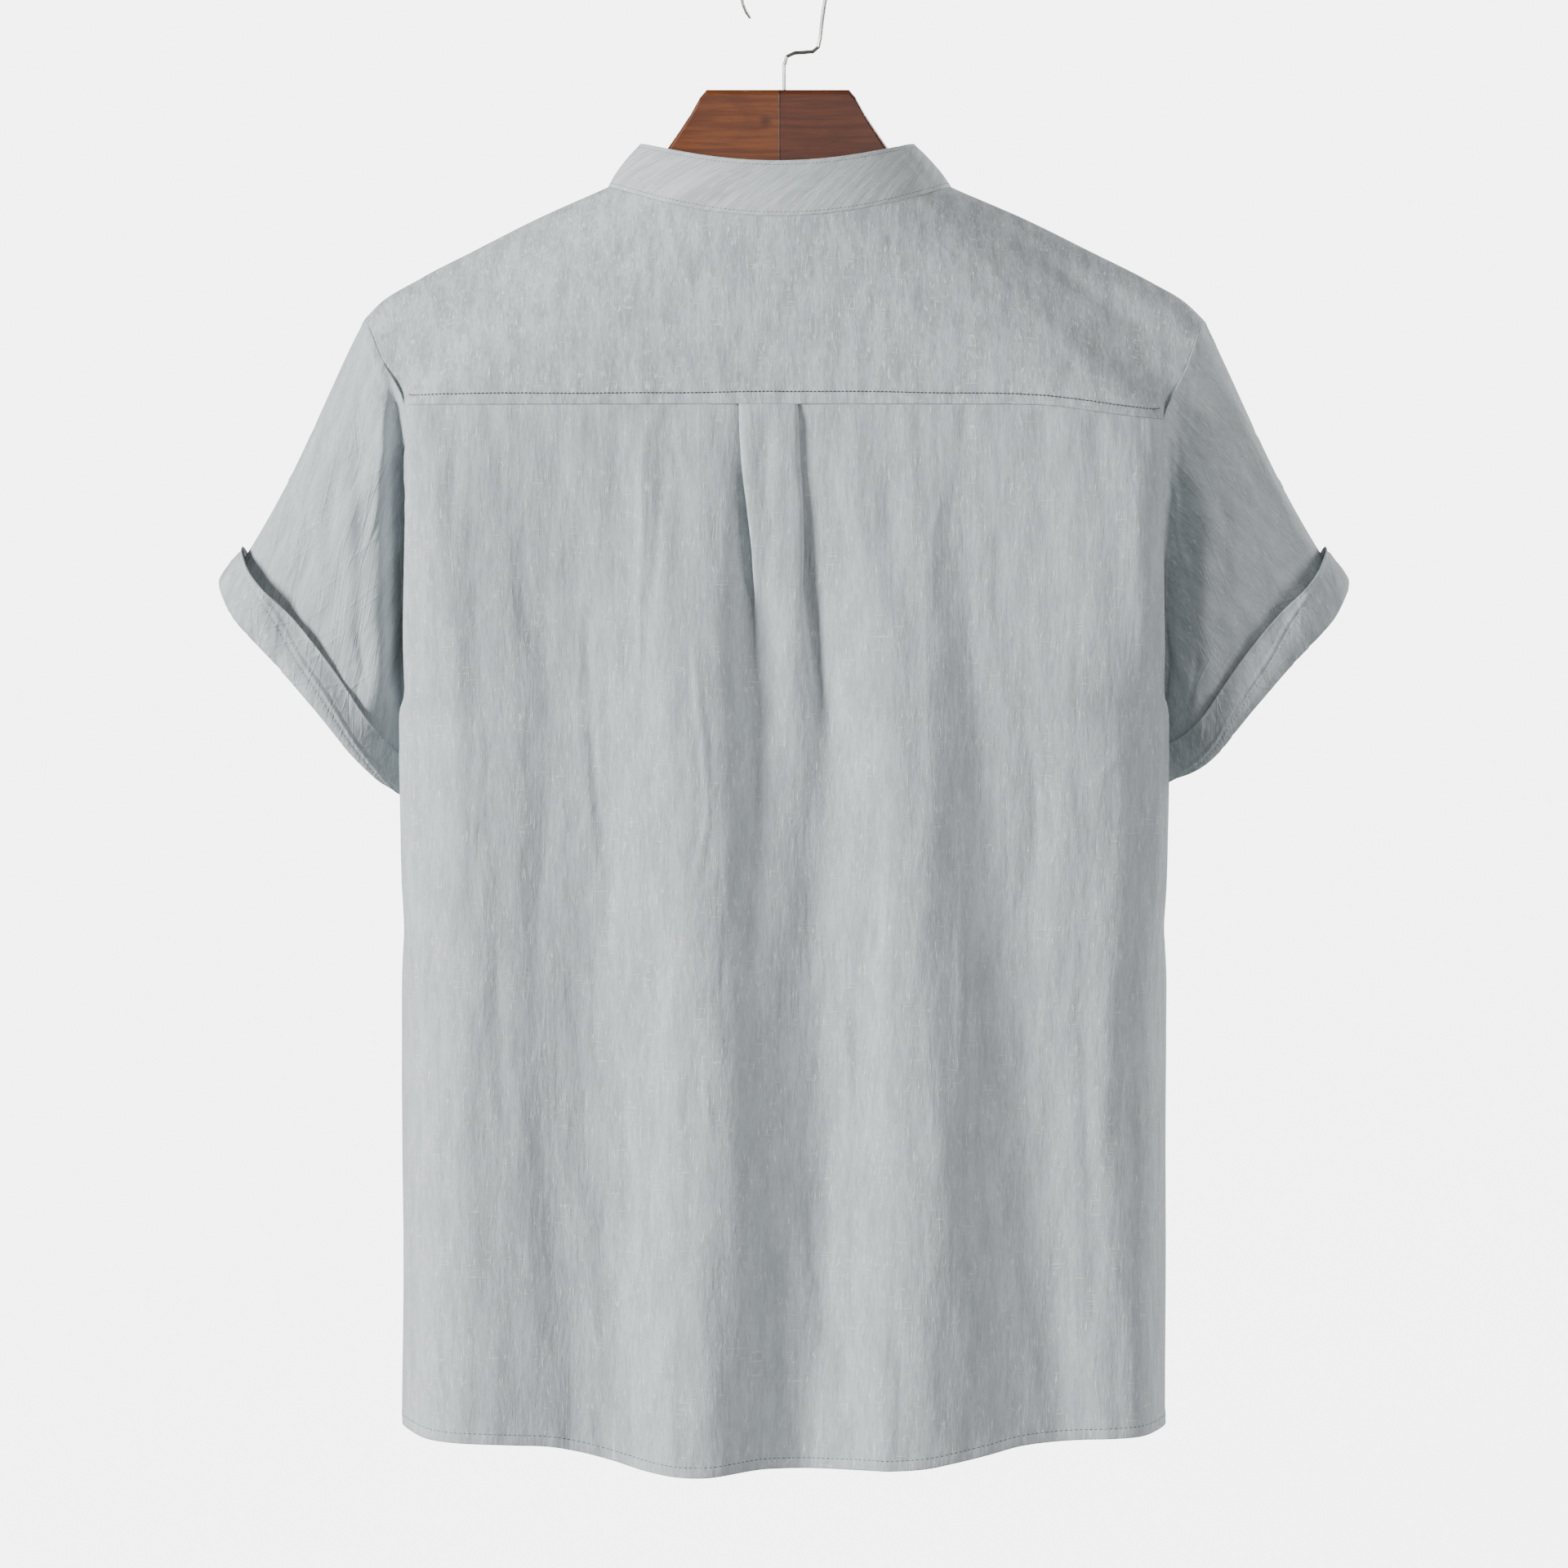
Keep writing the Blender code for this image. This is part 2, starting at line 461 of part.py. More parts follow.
def pleat_side(shut, stands, height):
    """Distance from the fold's edge and stand from the body of one side's points, panel first."""
    inward = PLEAT_SIDE["shut"] * shut + PLEAT_SIDE["open"] * (1 - shut)
    return [(step, float(stands.at("out%d" % point, height))) for point, step in enumerate(inward)]


def pleat_columns(row):
    """Middle of the back: the box pleat's two sides and the raised strip between them."""
    height = row_height(0.0, row, True)
    left, right, shut_left, shut_right, strip = (
        float(PLEAT_RUN.at(name, height))
        for name in ("left", "right", "shut_left", "shut_right", "strip"))
    columns = [back_middle_point(left - step, out, row)
               for step, out in pleat_side(shut_left, PLEAT_LEFT, height)]
    columns.append(back_middle_point((left + right) / 2, strip, row))
    columns += [back_middle_point(right + step, out, row)
                for step, out in pleat_side(shut_right, PLEAT_RIGHT, height)[::-1]]
    return columns


def side_angles():
    """Ring angles of the back's side columns, ending short of the pleat."""
    limit = math.asin((PLEAT_REACH / HALF_WIDTH) ** (1 / CUT_POWER))
    angles = quarter_stations(FINE_STEPS)
    wanted = np.linspace(FINE_STEPS, np.searchsorted(angles, limit), SIDE_STATIONS)
    return angles[wanted.astype(int)]


def make_back():
    rows = np.concatenate((UPPER_ROWS, LOWER_ROWS))
    grid = []
    for row in rows:
        left = [back_side_point(angle, 1, row) for angle in side_angles()]
        right = [back_side_point(angle, -1, row) for angle in side_angles()[::-1]]
        grid.append(left + pleat_columns(row) + right)
    return np.array(grid)


def neck_angle_at(x):
    """Neck angle of the point of the front neckline at x."""
    turn = math.pi - math.asin(abs(x - NECK_X) / NECK_HALF)
    return math.copysign(turn, x - NECK_X)


def front_inner_point(row, side):
    """Edge of a front: the neckline, then down beside the button band."""
    if row < CENTRE_ROW:
        return neck_point(side * math.radians(float(FRONT_NECK.at("angle", row))))
    return band_point(NECK_X + side * (PLACKET_HALF + SEAM_GAP / 2), row)


def band_point(x, row):
    """Point of the front's middle surface near the centre front, at a row below the neck."""
    if row == CENTRE_ROW:
        z = neck_point(neck_angle_at(x))[2]
    elif row <= UNDERARM_ROW:
        z = float(FRONT_CENTRE.at("z", row))
    else:
        share = (row - UNDERARM_ROW) / (HEM_ROW - UNDERARM_ROW)
        start = float(FRONT_CENTRE.at("z", UNDERARM_ROW))
        z = start + (float(FRONT_HEM.at("z", x)) - start) * share
    return np.array((x, front_centre_y(z), z))


def front_centre_y(z):
    """The front is flat across under the button band, and this deep there."""
    return float(BODY.at("front", z)) - folds(FRONT_FOLDS, 0.0, z)


def yoke_edge_rise(across):
    """Rise of the seam in front of a shoulder, which is as faceted as the yoke's edge."""
    return float(np.interp(across, YOKE_ROWS, YOKE_LIFT.at("rise", YOKE_ROWS)))


def make_front(side):
    rows = np.concatenate((UPPER_ROWS, LOWER_ROWS))
    angles = quarter_stations(FRONT_STATIONS)
    grid = []
    for row in rows:
        inner, outer = front_inner_point(row, side), edge_point(row, side, False)
        share = max(row - UNDERARM_ROW, 0) / (HEM_ROW - UNDERARM_ROW)
        half = ring_half(outer, soft_step((row - 3) / 2))
        rounded = min(1, CHEST_ROUND[0] + CHEST_ROUND[1] * row)
        hem_in, hem_out = FRONT_HEM.at("z", inner[0]), FRONT_HEM.at("z", side * HALF_WIDTH)
        base = inner[1] + folds(FRONT_FOLDS, 0.0, inner[2]) * (row >= CENTRE_ROW)
        bulge = float(FRONT_BULGE.at("out", min(row, UNDERARM_ROW)))
        line = []
        for share_out, angle in zip(np.linspace(0, 1, len(angles)), angles):
            reach = ring_x(angle, half, abs(outer[0])) / abs(outer[0])
            reach = share_out + (reach - share_out) * rounded
            within = min(reach, 1.0)
            x = inner[0] + (outer[0] - inner[0]) * reach
            z = inner[2] + (outer[2] - inner[2]) * within
            z += share * float(FRONT_HEM.at("z", x) - hem_in - (hem_out - hem_in) * within) \
                * (reach < 1)
            z += yoke_edge_rise(1 - within) * max(1 - row, 0) ** 2
            level = ring_depth(share_out)
            level += (math.cos(angle) ** CUT_POWER - level) * rounded
            level = 1 - within + (level - 1 + within) * soft_step(row)
            y = outer[1] + (base - outer[1]) * level
            y -= bulge * math.sin(math.pi * within)
            beside = abs(x - NECK_X) - PLACKET_HALF
            flat = soft_step(beside / FLAT_REACH)
            wave = folds(FRONT_FOLDS, x, z) * flat + folds(FRONT_FOLDS, 0.0, z) * (1 - flat)
            y -= wave * side_fade(angle) * soft_step(row / CENTRE_ROW)
            if side > 0:
                over_stand = 1 - soft_step(beside / LAP_REACH)
                over_stand *= soft_step((row - LAP_START) / LAP_RUN)
                y -= (CLOTH + LAP_GAP) * over_stand
            line.append((x, y, z))
        grid.append(line)
    return np.array(grid)


def make_band(columns, lap):
    """The button band or the stand under it, moved out from the fronts' own surface by `lap`."""
    rows = np.concatenate((UPPER_ROWS[UPPER_ROWS >= CENTRE_ROW], LOWER_ROWS))
    grid = np.array([[band_point(NECK_X + column, row) for column in columns] for row in rows])
    grid[:, :, 1] -= lap
    grid[0, :, 2] -= SEAM_GAP
    return grid


def make_yoke():
    """The yoke, from its outer edge (left armhole, yoke seam, right armhole) to the neckline."""
    places = np.arange(FRONT_SEAM, YOKE_END + 1)
    outer = [armhole_point(place, 1) for place in places]
    spread = (YOKE_NECK_BACK - YOKE_NECK_FRONT) / (YOKE_END - FRONT_SEAM)
    neck = [neck_point(YOKE_NECK_FRONT + spread * (place - FRONT_SEAM)) for place in places]
    seam = [back_side_point(angle, 1, 0.0) for angle in side_angles()[1:]]
    seam += [back_middle_point(x, 0.0, 0.0) for x in YOKE_MIDDLE]
    seam += [back_side_point(angle, -1, 0.0) for angle in side_angles()[:0:-1]]
    outer += seam
    neck += [neck_point(YOKE_NECK_BACK * point[0] / outer[len(places) - 1][0]) for point in seam]
    outer += [armhole_point(place, -1) for place in places[::-1]]
    neck += [neck_point(-YOKE_NECK_FRONT - spread * (place - FRONT_SEAM))
             for place in places[::-1]]
    outer, neck = np.array(outer), np.array(neck)
    from_end = np.minimum(np.arange(len(outer)), np.arange(len(outer))[::-1])
    softened = soft_step((from_end - 2) / 2.5)[:, None]
    grid = []
    for across, rounds in zip(YOKE_ROWS, YOKE_ROUNDING):
        line = outer.copy()
        for _ in range(rounds):
            line[1:-1] = (line[:-2] + 2 * line[1:-1] + line[2:]) / 4
        line = outer + (line - outer) * softened
        grid.append(line + (neck - line) * across)
    grid = np.array(grid)
    grid[:, :, 2] += YOKE_LIFT.at("rise", YOKE_ROWS)[:, None]
    return grid


def neck_angles():
    """Neck angles of every panel corner, from the left collar end round the back to the right."""
    yoke = make_yoke()[-1]
    along = np.where(yoke[:, 1] > NECK_Y, NECK_BACK, NECK_FRONT)
    angles = np.arctan2((yoke[:, 0] - NECK_X) / NECK_HALF, (yoke[:, 1] - NECK_Y) / along)
    front = [math.radians(float(FRONT_NECK.at("angle", row))) for row in UPPER_ROWS[1:5]]
    front += [neck_angle_at(NECK_X + beside)
              for beside in (PLACKET_HALF + SEAM_GAP / 2, BAND_COLUMN, COLLAR_OPEN)]
    front = np.array(front)
    return np.concatenate((front[::-1], angles, -front))


def make_collar():
    base = np.array([neck_point(angle) for angle in neck_angles()])
    top = np.array([collar_top(angle) for angle in neck_angles()])
    grid = np.array([base + (top - base) * up for up in COLLAR_ROWS])
    middle = np.array((COLLAR_X, NECK_Y, 0.0))
    outward = unit((base - middle) * (1, 1, 0))
    for up, line in zip(COLLAR_ROWS, grid):
        line += outward * COLLAR_FULL * math.sin(math.pi * up)
    return grid


# ------------------------------------------------------------------ sleeves and cuffs
def sleeve_places():
    """Armhole places of a sleeve's columns: the edges of the panels that it is sewn to."""
    half_steps = UPPER_ROWS
    shoulder = np.arange(FRONT_SEAM + 1, YOKE_END)
    return np.concatenate((half_steps, shoulder, YOKE_END + half_steps[:-1]))


def underarm_ease():
    """Extra room at a sleeve's seam near the underarm, where three panels turn sharply."""
    places = sleeve_places()
    return UNDERARM_EASE * soft_step(2 - np.minimum(places, PLACES - places) / 1.5)


def mouth_point(place, side):
    """Point of the sleeve's mouth that an armhole place runs to, and its way round (-1 to 1)."""
    places = np.linspace(0, PLACES, 20 * PLACES + 1)
    points = np.array([armhole_point(p % PLACES, 1) for p in places])
    length = np.concatenate(([0], np.cumsum(np.linalg.norm(np.diff(points, axis=0), axis=1))))
    top = np.interp(SHOULDER_TOP, places, length)
    here = np.interp(place, places, length)
    around = (here - top) / top if place < SHOULDER_TOP else (here - top) / (length[-1] - top)
    fine = np.linspace(0, math.pi, FINE_STEPS)
    long_half = 0.5 * math.dist(CUFF_TIP, CUFF_END)
    along = long_half * np.cos(fine)
    fullness = np.interp(fine, (0, math.pi / 2, math.pi), CUFF_FULLNESS)
    depth = CUFF_DEPTH * np.sin(fine) ** fullness
    oval = np.concatenate(([0], np.cumsum(np.hypot(np.diff(along), np.diff(depth)))))
    at = np.interp(abs(around) * oval[-1], oval, fine)
    u = np.interp(at, fine, along)
    y = CUFF_Y + np.sign(around) * np.interp(at, fine, depth)
    tip, end = np.array(CUFF_TIP), np.array(CUFF_END)
    long_way = unit(tip - end)
    bow = float(CUFF_BOW.at("out", u / long_half))
    x, z = (tip + end) / 2 + long_way * u + np.array((long_way[1], -long_way[0])) * bow
    if side < 0:
        z += RIGHT_END_RISE * soft_step((-u / long_half - 0.55) / 0.45)
    return np.array((side * x, y, z)), around


def make_sleeve(side):
    """A sleeve as a closed tube from the armhole seam to its mouth."""
    places = sleeve_places()
    top = np.array([armhole_point(place, side) for place in places])
    mouth = np.array([mouth_point(place, side)[0] for place in places])
    behind, before = (np.sin(np.pi * np.clip((places - start) / span, 0, 1)) ** HOLLOW_POWER
                      for start, span in (HOLLOW_BEHIND, HOLLOW_BEFORE))
    inward = np.array([(0.0, -1.0, 0.0)]) * (behind - before)[:, None]
    from_underarm = np.minimum(places, PLACES - places)
    aside = np.array([(side, 0.0, 0.0)]) * soft_step(1 - from_underarm / 2.5)[:, None]
    over = soft_step(1 - np.abs(places - SHOULDER_TOP) / 3)
    grid = []
    for along in SLEEVE_ROWS:
        line = top + (mouth - top) * along
        share = along / SLEEVE_HOLLOW_AT
        line = line + (inward * SLEEVE_HOLLOW + aside * SLEEVE_SHELF) * share * math.exp(1 - share)
        line = line - inward * SLEEVE_FULL * math.sin(math.pi * along) ** 2
        line[:, 0] -= side * SLEEVE_DRAW * math.sin(math.pi * along ** 1.5) * over
        grid.append(line)
    return np.array(grid)


def make_cuff(side, sleeve):
    """A sleeve's turned-up end: a band outside it that rolls under the sleeve's lower edge."""
    edge = sleeve[-1]
    up = unit(sleeve[-2] - edge)
    around = unit(np.roll(edge, -1, axis=0) - np.roll(edge, 1, axis=0))
    out = unit(np.cross(around, up))
    centre = edge.mean(axis=0)
    if np.sum(out * (edge - centre)) < 0:
        out = -out
    ways = np.array([mouth_point(place, side)[1] for place in sleeve_places()])
    width, stand, roll = (CUFF_ROUND.at(name, ways) for name in ("width", "stand", "roll"))
    grid = []
    for rise, reach in zip(CUFF_SECTION["up"], CUFF_SECTION["out"]):
        high = np.where(rise > 0, rise * width, rise)
        far = reach * roll + stand * max(rise, 0) / CUFF_SECTION["up"][0]
        grid.append(edge + up * high[:, None] + out * far[:, None])
    return np.array(grid)


# ------------------------------------------------------------------ walls
def grid_normals(grid, closed):
    """Unit normals of a grid's points; closed grids join their last column to their first."""
    if closed:
        wide = np.concatenate((grid[:, -1:], grid, grid[:, :1]), axis=1)
        across = (wide[:, 2:] - wide[:, :-2])
    else:
        across = np.gradient(grid, axis=1)
    down = np.gradient(grid, axis=0)
    return unit(np.cross(unit(across), unit(down)))


def share_normals(panels):
    """Gives points that panels share one normal, so that their edges meet squarely."""
    sums = {}
    for panel in panels.values():
        grid = panel["grid"]
        panel["normals"] = grid_normals(grid, panel["closed"])
        middle = grid.mean(axis=(0, 1)) if panel["closed"] else grid * (0, 0, 1)
        if np.sum(panel["normals"] * (grid - middle)) < 0:
            panel["normals"] = -panel["normals"]
        for point, normal in zip(panel["grid"].reshape(-1, 3), panel["normals"].reshape(-1, 3)):
            key = tuple(np.round(point, 1))
            sums[key] = sums.get(key, 0) + normal
    for panel in panels.values():
        keys = [tuple(np.round(point, 1)) for point in panel["grid"].reshape(-1, 3)]
        shared = np.array([sums[key] for key in keys]).reshape(panel["grid"].shape)
        panel["normals"] = unit(shared)
    shoulder = YOKE_END - FRONT_SEAM
    for name, level in (("yoke", slice(shoulder, -shoulder)), ("back", slice(None))):
        panels[name]["normals"][0, level, 2] = 0
        panels[name]["normals"] = unit(panels[name]["normals"])


def pull_back(grid, edges, closed, ease):
    """Moves sewn edges into their own panel by half the seam gap, and the top one by `ease` too."""
    moved = grid.copy()
    lines = {"top": (0, slice(None)), "bottom": (-1, slice(None))}
    inner = {"top": (1, slice(None)), "bottom": (-2, slice(None))}
    if not closed:
        lines.update(first=(slice(None), 0), last=(slice(None), -1))
        inner.update(first=(slice(None), 1), last=(slice(None), -2))
    for edge in edges:
        along = unit(np.gradient(grid[lines[edge]], axis=0))
        inward = grid[inner[edge]] - grid[lines[edge]]
        inward = inward - along * np.sum(inward * along, axis=1)[:, None]
        distance = SEAM_GAP / 2 + (ease if edge == "top" else 0)
        moved[lines[edge]] += unit(inward) * np.reshape(distance, (-1, 1))
    return moved


def wall(grid, normals, closed):
    """Vertices and triangles of a wall on both sides of a grid, with its edges filled."""
    rows, columns = grid.shape[:2]
    outer = (grid + normals * CLOTH / 2).reshape(-1, 3)
    inner = (grid - normals * CLOTH / 2).reshape(-1, 3)
    count = rows * columns
    faces = []

    def index(row, column):
        return row * columns + column % columns

    for row in range(rows - 1):
        for column in range(columns if closed else columns - 1):
            a, b = index(row, column), index(row, column + 1)
            c, d = index(row + 1, column + 1), index(row + 1, column)
            faces += [(a, b, c), (a, c, d)]
            faces += [(count + a, count + c, count + b), (count + a, count + d, count + c)]
    rim = [(index(0, c + 1), index(0, c)) for c in range(columns if closed else columns - 1)]
    rim += [(index(rows - 1, c), index(rows - 1, c + 1))
            for c in range(columns if closed else columns - 1)]
    if not closed:
        rim += [(index(r, 0), index(r + 1, 0)) for r in range(rows - 1)]
        rim += [(index(r + 1, columns - 1), index(r, columns - 1)) for r in range(rows - 1)]
    for a, b in rim:
        faces += [(a, b, count + b), (a, count + b, count + a)]
    return np.concatenate((outer, inner)), faces


def volume(vertices, faces):
    a, b, c = (vertices[[face[corner] for face in faces]] for corner in range(3))
    return float(np.sum(a * np.cross(b, c)) / 6)


# ------------------------------------------------------------------ objects
def material(name, colour, roughness, metallic=0.0):
    made = bpy.data.materials.new(name)
    made.use_nodes = True
    shader = made.node_tree.nodes["Principled BSDF"]
    shader.inputs["Base Color"].default_value = (*colour, 1.0)
    shader.inputs["Roughness"].default_value = roughness
    shader.inputs["Metallic"].default_value = metallic
    made.diffuse_color = (*colour, 1.0)
    return made


def add_object(name, vertices, faces, finish):
    """Adds a closed mesh, given in millimetres, with its faces turned outward."""
    vertices = np.asarray(vertices, float)
    triangles = [(face[0], face[i], face[i + 1]) for face in faces for i in range(1, len(face) - 1)]
    if volume(vertices, triangles) < 0:
        faces = [tuple(reversed(face)) for face in faces]
    mesh = bpy.data.meshes.new(name)
    mesh.from_pydata((vertices * MM).tolist(), [], faces)
    mesh.validate()
    mesh.shade_smooth()
    mesh.set_sharp_from_angle(angle=math.radians(40))
    made = bpy.data.objects.new(name, mesh)
    made.data.materials.append(material(name, *finish))
    bpy.context.scene.collection.objects.link(made)
    return made


def loft(sections):
    """Vertices and faces of a solid through closed sections of equal count, with flat ends."""
    sections = np.asarray(sections, float)
    rings, sides = sections.shape[:2]
    faces = [tuple(range(sides))[::-1], tuple((rings - 1) * sides + i for i in range(sides))]
    for ring in range(rings - 1):
        for i in range(sides):
            j = (i + 1) % sides
            faces.append((ring * sides + i, ring * sides + j,
                          (ring + 1) * sides + j, (ring + 1) * sides + i))
    return sections.reshape(-1, 3), faces


def wood_section(reach, side):
    """Rounded section of the hanger at a distance from its centre."""
    top, bottom = float(WOOD.at("top", reach)), float(WOOD.at("bottom", reach))
    half_y, corner = float(WOOD.at("half_y", reach)), float(WOOD.at("corner", reach))
    y, middle, half_z = float(WOOD.at("y", reach)), (top + bottom) / 2, (top - bottom) / 2
    section = []
    for quarter in range(4):
        for step in range(4):
            angle = math.pi / 2 * (quarter + step / 3)
            sign_y = 1 if quarter in (0, 3) else -1
            sign_z = 1 if quarter in (0, 1) else -1
            section.append((WOOD_X + side * reach,
                            y + sign_y * (half_y - corner) + corner * math.cos(angle),
                            middle + sign_z * (half_z - corner) + corner * math.sin(angle)))
    return section


def add_hanger(name, side, colour):
    """One half of the hanger, from the joint at its centre to its rounded end."""
    sections = []
    for reach in WOOD["x"]:
        section = np.array(wood_section(reach, side))
        if reach == 0:
            section[:, 0] = WOOD_JOINT + side * SEAM_GAP / 2
        sections.append(section)
    return add_object(name, *loft(sections), (colour, 0.32))


def hook_path():
    """Middle line of the wire: up out of the wood, a short jog, then round the hook."""
    straight = [(HOOK_X, WOOD_TOP + SEAM_GAP), (HOOK_X, -74.0), (HOOK_X, -66.5)]
    jog = [(-1.6, -61.5), (-6.0, -59.4), (-12.0, -59.0), (-17.0, -58.6), (-20.2, -55.8),
           (-21.4, -50.0), (-22.4, -41.0), (-23.6, -32.5)]
    centre_z = WIRE - HOOK_RADIUS
    turn = [(-HOOK_RADIUS * math.cos(angle), centre_z + HOOK_RADIUS * math.sin(angle))
            for angle in np.radians(np.linspace(0, 218, 23))]
    return [(x, 0.0, z) for x, z in straight + jog + turn]


def add_hook():
    path = np.array(hook_path())
    path[:, 1] = -5.0 * soft_step((-path[:, 2] - 20.0) / 40.0)
    along = unit(np.gradient(path, axis=0))
    sideways = np.array((0.0, 1.0, 0.0))
    across = unit(np.cross(along, sideways))
    rings = []
    radii = [WIRE] * (len(path) - 1) + [WIRE * 0.75]
    for point, normal, ahead, radius in zip(path, across, along, radii):
        other = np.cross(ahead, normal)
        rings.append([point + radius * (math.cos(angle) * normal + math.sin(angle) * other)
                      for angle in np.arange(WIRE_SIDES) * 2 * math.pi / WIRE_SIDES])
    return add_object("hook", *loft(rings), (COLOURS["wire"], 0.3, 1.0))


def add_buttons():
    """Round buttons down the band, each with a raised rim, standing on the band's face."""
    sides = 16
    for number in range(BUTTONS):
        z = BUTTON_TOP - BUTTON_PITCH * number
        face = min(front_centre_y(z + BUTTON_RADIUS), front_centre_y(z - BUTTON_RADIUS))
        face -= 1.5 * CLOTH + LAP_GAP + SEAM_GAP
        rings = []
        for radius, height in zip(BUTTON["radius"], BUTTON["height"]):
            rings.append([(NECK_X + BUTTON_RADIUS * radius * math.cos(angle),
                           face - BUTTON_THICK * height,
                           z + BUTTON_RADIUS * radius * math.sin(angle))
                          for angle in np.arange(sides) * 2 * math.pi / sides])
        add_object("button_%d" % (number + 1), *loft(rings), (COLOURS["button"], 0.35))


def main():
    for old in list(bpy.data.objects):
        bpy.data.objects.remove(old)
    sleeves = {side: make_sleeve(side) for side in (1, -1)}
    pieces = (
        ("back", make_back(), "top first last"),
        ("yoke", make_yoke(), "top bottom first last"),
        ("front_left", make_front(1), "top first last"),
        ("front_right", make_front(-1), "top first last"),
        ("placket", make_band((PLACKET_HALF, BAND_COLUMN, -BAND_COLUMN, -PLACKET_HALF),
                              CLOTH + LAP_GAP), ""),
        ("button_stand", make_band((STAND_REACH, BAND_COLUMN, -BAND_COLUMN,
                                    SEAM_GAP / 2 - PLACKET_HALF), 0.0), ""),
        ("collar", make_collar(), "top"),
        ("sleeve_left", sleeves[1], "top bottom"),
        ("sleeve_right", sleeves[-1], "top bottom"),
        ("cuff_left", make_cuff(1, sleeves[1]), ""),
        ("cuff_right", make_cuff(-1, sleeves[-1]), ""),
    )
    panels = {name: {"grid": grid, "edges": edges.split(),
                     "closed": name.startswith(("sleeve", "cuff"))}
              for name, grid, edges in pieces}
    share_normals(panels)
    for name, panel in panels.items():
        ease = underarm_ease() if name.startswith("sleeve") else 0
        grid = pull_back(panel["grid"], panel["edges"], panel["closed"], ease)
        colour = COLOURS["collar" if name == "collar" else "cloth"]
        add_object(name, *wall(grid, panel["normals"], panel["closed"]), (colour, 0.9))
    add_buttons()
    add_hanger("hanger_left", 1, COLOURS["wood_left"])
    add_hanger("hanger_right", -1, COLOURS["wood_right"])
    add_hook()


main()
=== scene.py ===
"""The dressed shirt on its hanger: thin creased cloth, sewing, buttons, wood and wire.

It repeats the form of the part's panels in millimetres, as grids of points on the cloth's middle
surface, and makes each one finer, with its creases, puckers and stitch lines.
"""

import math

import bmesh
import bpy
import numpy as np
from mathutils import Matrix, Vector
from mathutils.geometry import tessellate_polygon


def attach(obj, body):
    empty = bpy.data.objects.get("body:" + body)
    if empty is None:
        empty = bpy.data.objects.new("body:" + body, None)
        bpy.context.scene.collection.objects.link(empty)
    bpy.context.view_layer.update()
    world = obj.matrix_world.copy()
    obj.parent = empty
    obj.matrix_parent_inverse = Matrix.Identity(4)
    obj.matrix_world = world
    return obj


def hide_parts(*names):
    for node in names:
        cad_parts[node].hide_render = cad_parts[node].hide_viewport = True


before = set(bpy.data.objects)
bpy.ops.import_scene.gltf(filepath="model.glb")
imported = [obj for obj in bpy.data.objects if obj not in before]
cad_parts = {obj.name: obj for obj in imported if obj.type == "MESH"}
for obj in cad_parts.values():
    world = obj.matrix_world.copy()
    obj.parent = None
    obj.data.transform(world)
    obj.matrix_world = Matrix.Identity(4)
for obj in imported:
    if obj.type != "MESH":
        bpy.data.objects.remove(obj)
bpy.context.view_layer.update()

CAMERA_AWAY = 3.6            # the camera behind the hook, in metres
VIEW_WIDTH = 0.9216          # width of the picture at the hanger
VIEW_MIDDLE = -0.4896        # height of the picture's middle
SENSOR = 36.0                # the camera's sensor, in millimetres

# ------------------------------------------------------------------ driving sizes, millimetres
MM = 0.001
CLOTH = 1.2                  # thickness of every cloth wall
SEAM_GAP = 0.3               # left open between two sewn pieces
LAP_GAP = 0.4                # between a piece and the panel that it lies on

HALF_WIDTH = 223.0           # of the body, from the underarms to the hem
CUT_POWER = 0.62             # roundness of the body's rings, 1 for an ellipse
SIDE_Y = -8.0                # side seams, which lie a little forward
PINCH_START = math.radians(72.0)   # where a ring turns in towards its side seam
HEM_SIDE = -864.0            # height of the hem at the side seams
YOKE_CENTRE = -270.0         # height of the yoke seam at the centre back
YOKE_LEVEL_LEFT, YOKE_LEVEL_RIGHT = 60.0, 82.0   # how far in from its ends that seam is level

NECK_X = 2.6                 # the neck and centre front, a little to the left of the hook
NECK_Y = -5.0
NECK_HALF = 100.5            # half width of the neckline
NECK_BACK, NECK_FRONT = 55.0, 57.0
NECK_SIDE_Z, NECK_BACK_Z, NECK_FRONT_Z = -139.0, -160.6, -206.0
COLLAR_X = 4.0
COLLAR_HALF = 80.0           # half width of the collar's top edge
COLLAR_BACK, COLLAR_FRONT = 47.0, 49.0
COLLAR_SIDE_Z, COLLAR_BACK_Z, COLLAR_FRONT_Z = -114.0, -127.7, -174.0
YOKE_NECK_FRONT = math.radians(113.8)   # neck angle of the seam in front of each shoulder
YOKE_NECK_BACK = math.radians(58.0)     # neck angle drawn to each end of the yoke seam

PLACKET_HALF = 16.0          # half width of the button band
STAND_REACH = 13.0           # how far the button stand runs on under it, past the centre
BAND_COLUMN = 5.5            # the bands' inner columns, each side of the centre
FLAT_REACH, LAP_REACH = 12.0, 18.0   # a front is flat, and stands off its lap, this far beside it
LAP_START, LAP_RUN = 1.9, 0.6        # the row where the lap begins, and the rows it takes
CHEST_ROUND = (0.25, 0.15)           # roundness of a front's top row, and its growth a row
COLLAR_OPEN = 2.5            # each collar end stops this far from the centre front
BUTTON_RADIUS, BUTTON_THICK = 5.6, 2.4
BUTTON_TOP, BUTTON_PITCH, BUTTONS = -222.0, 92.0, 7

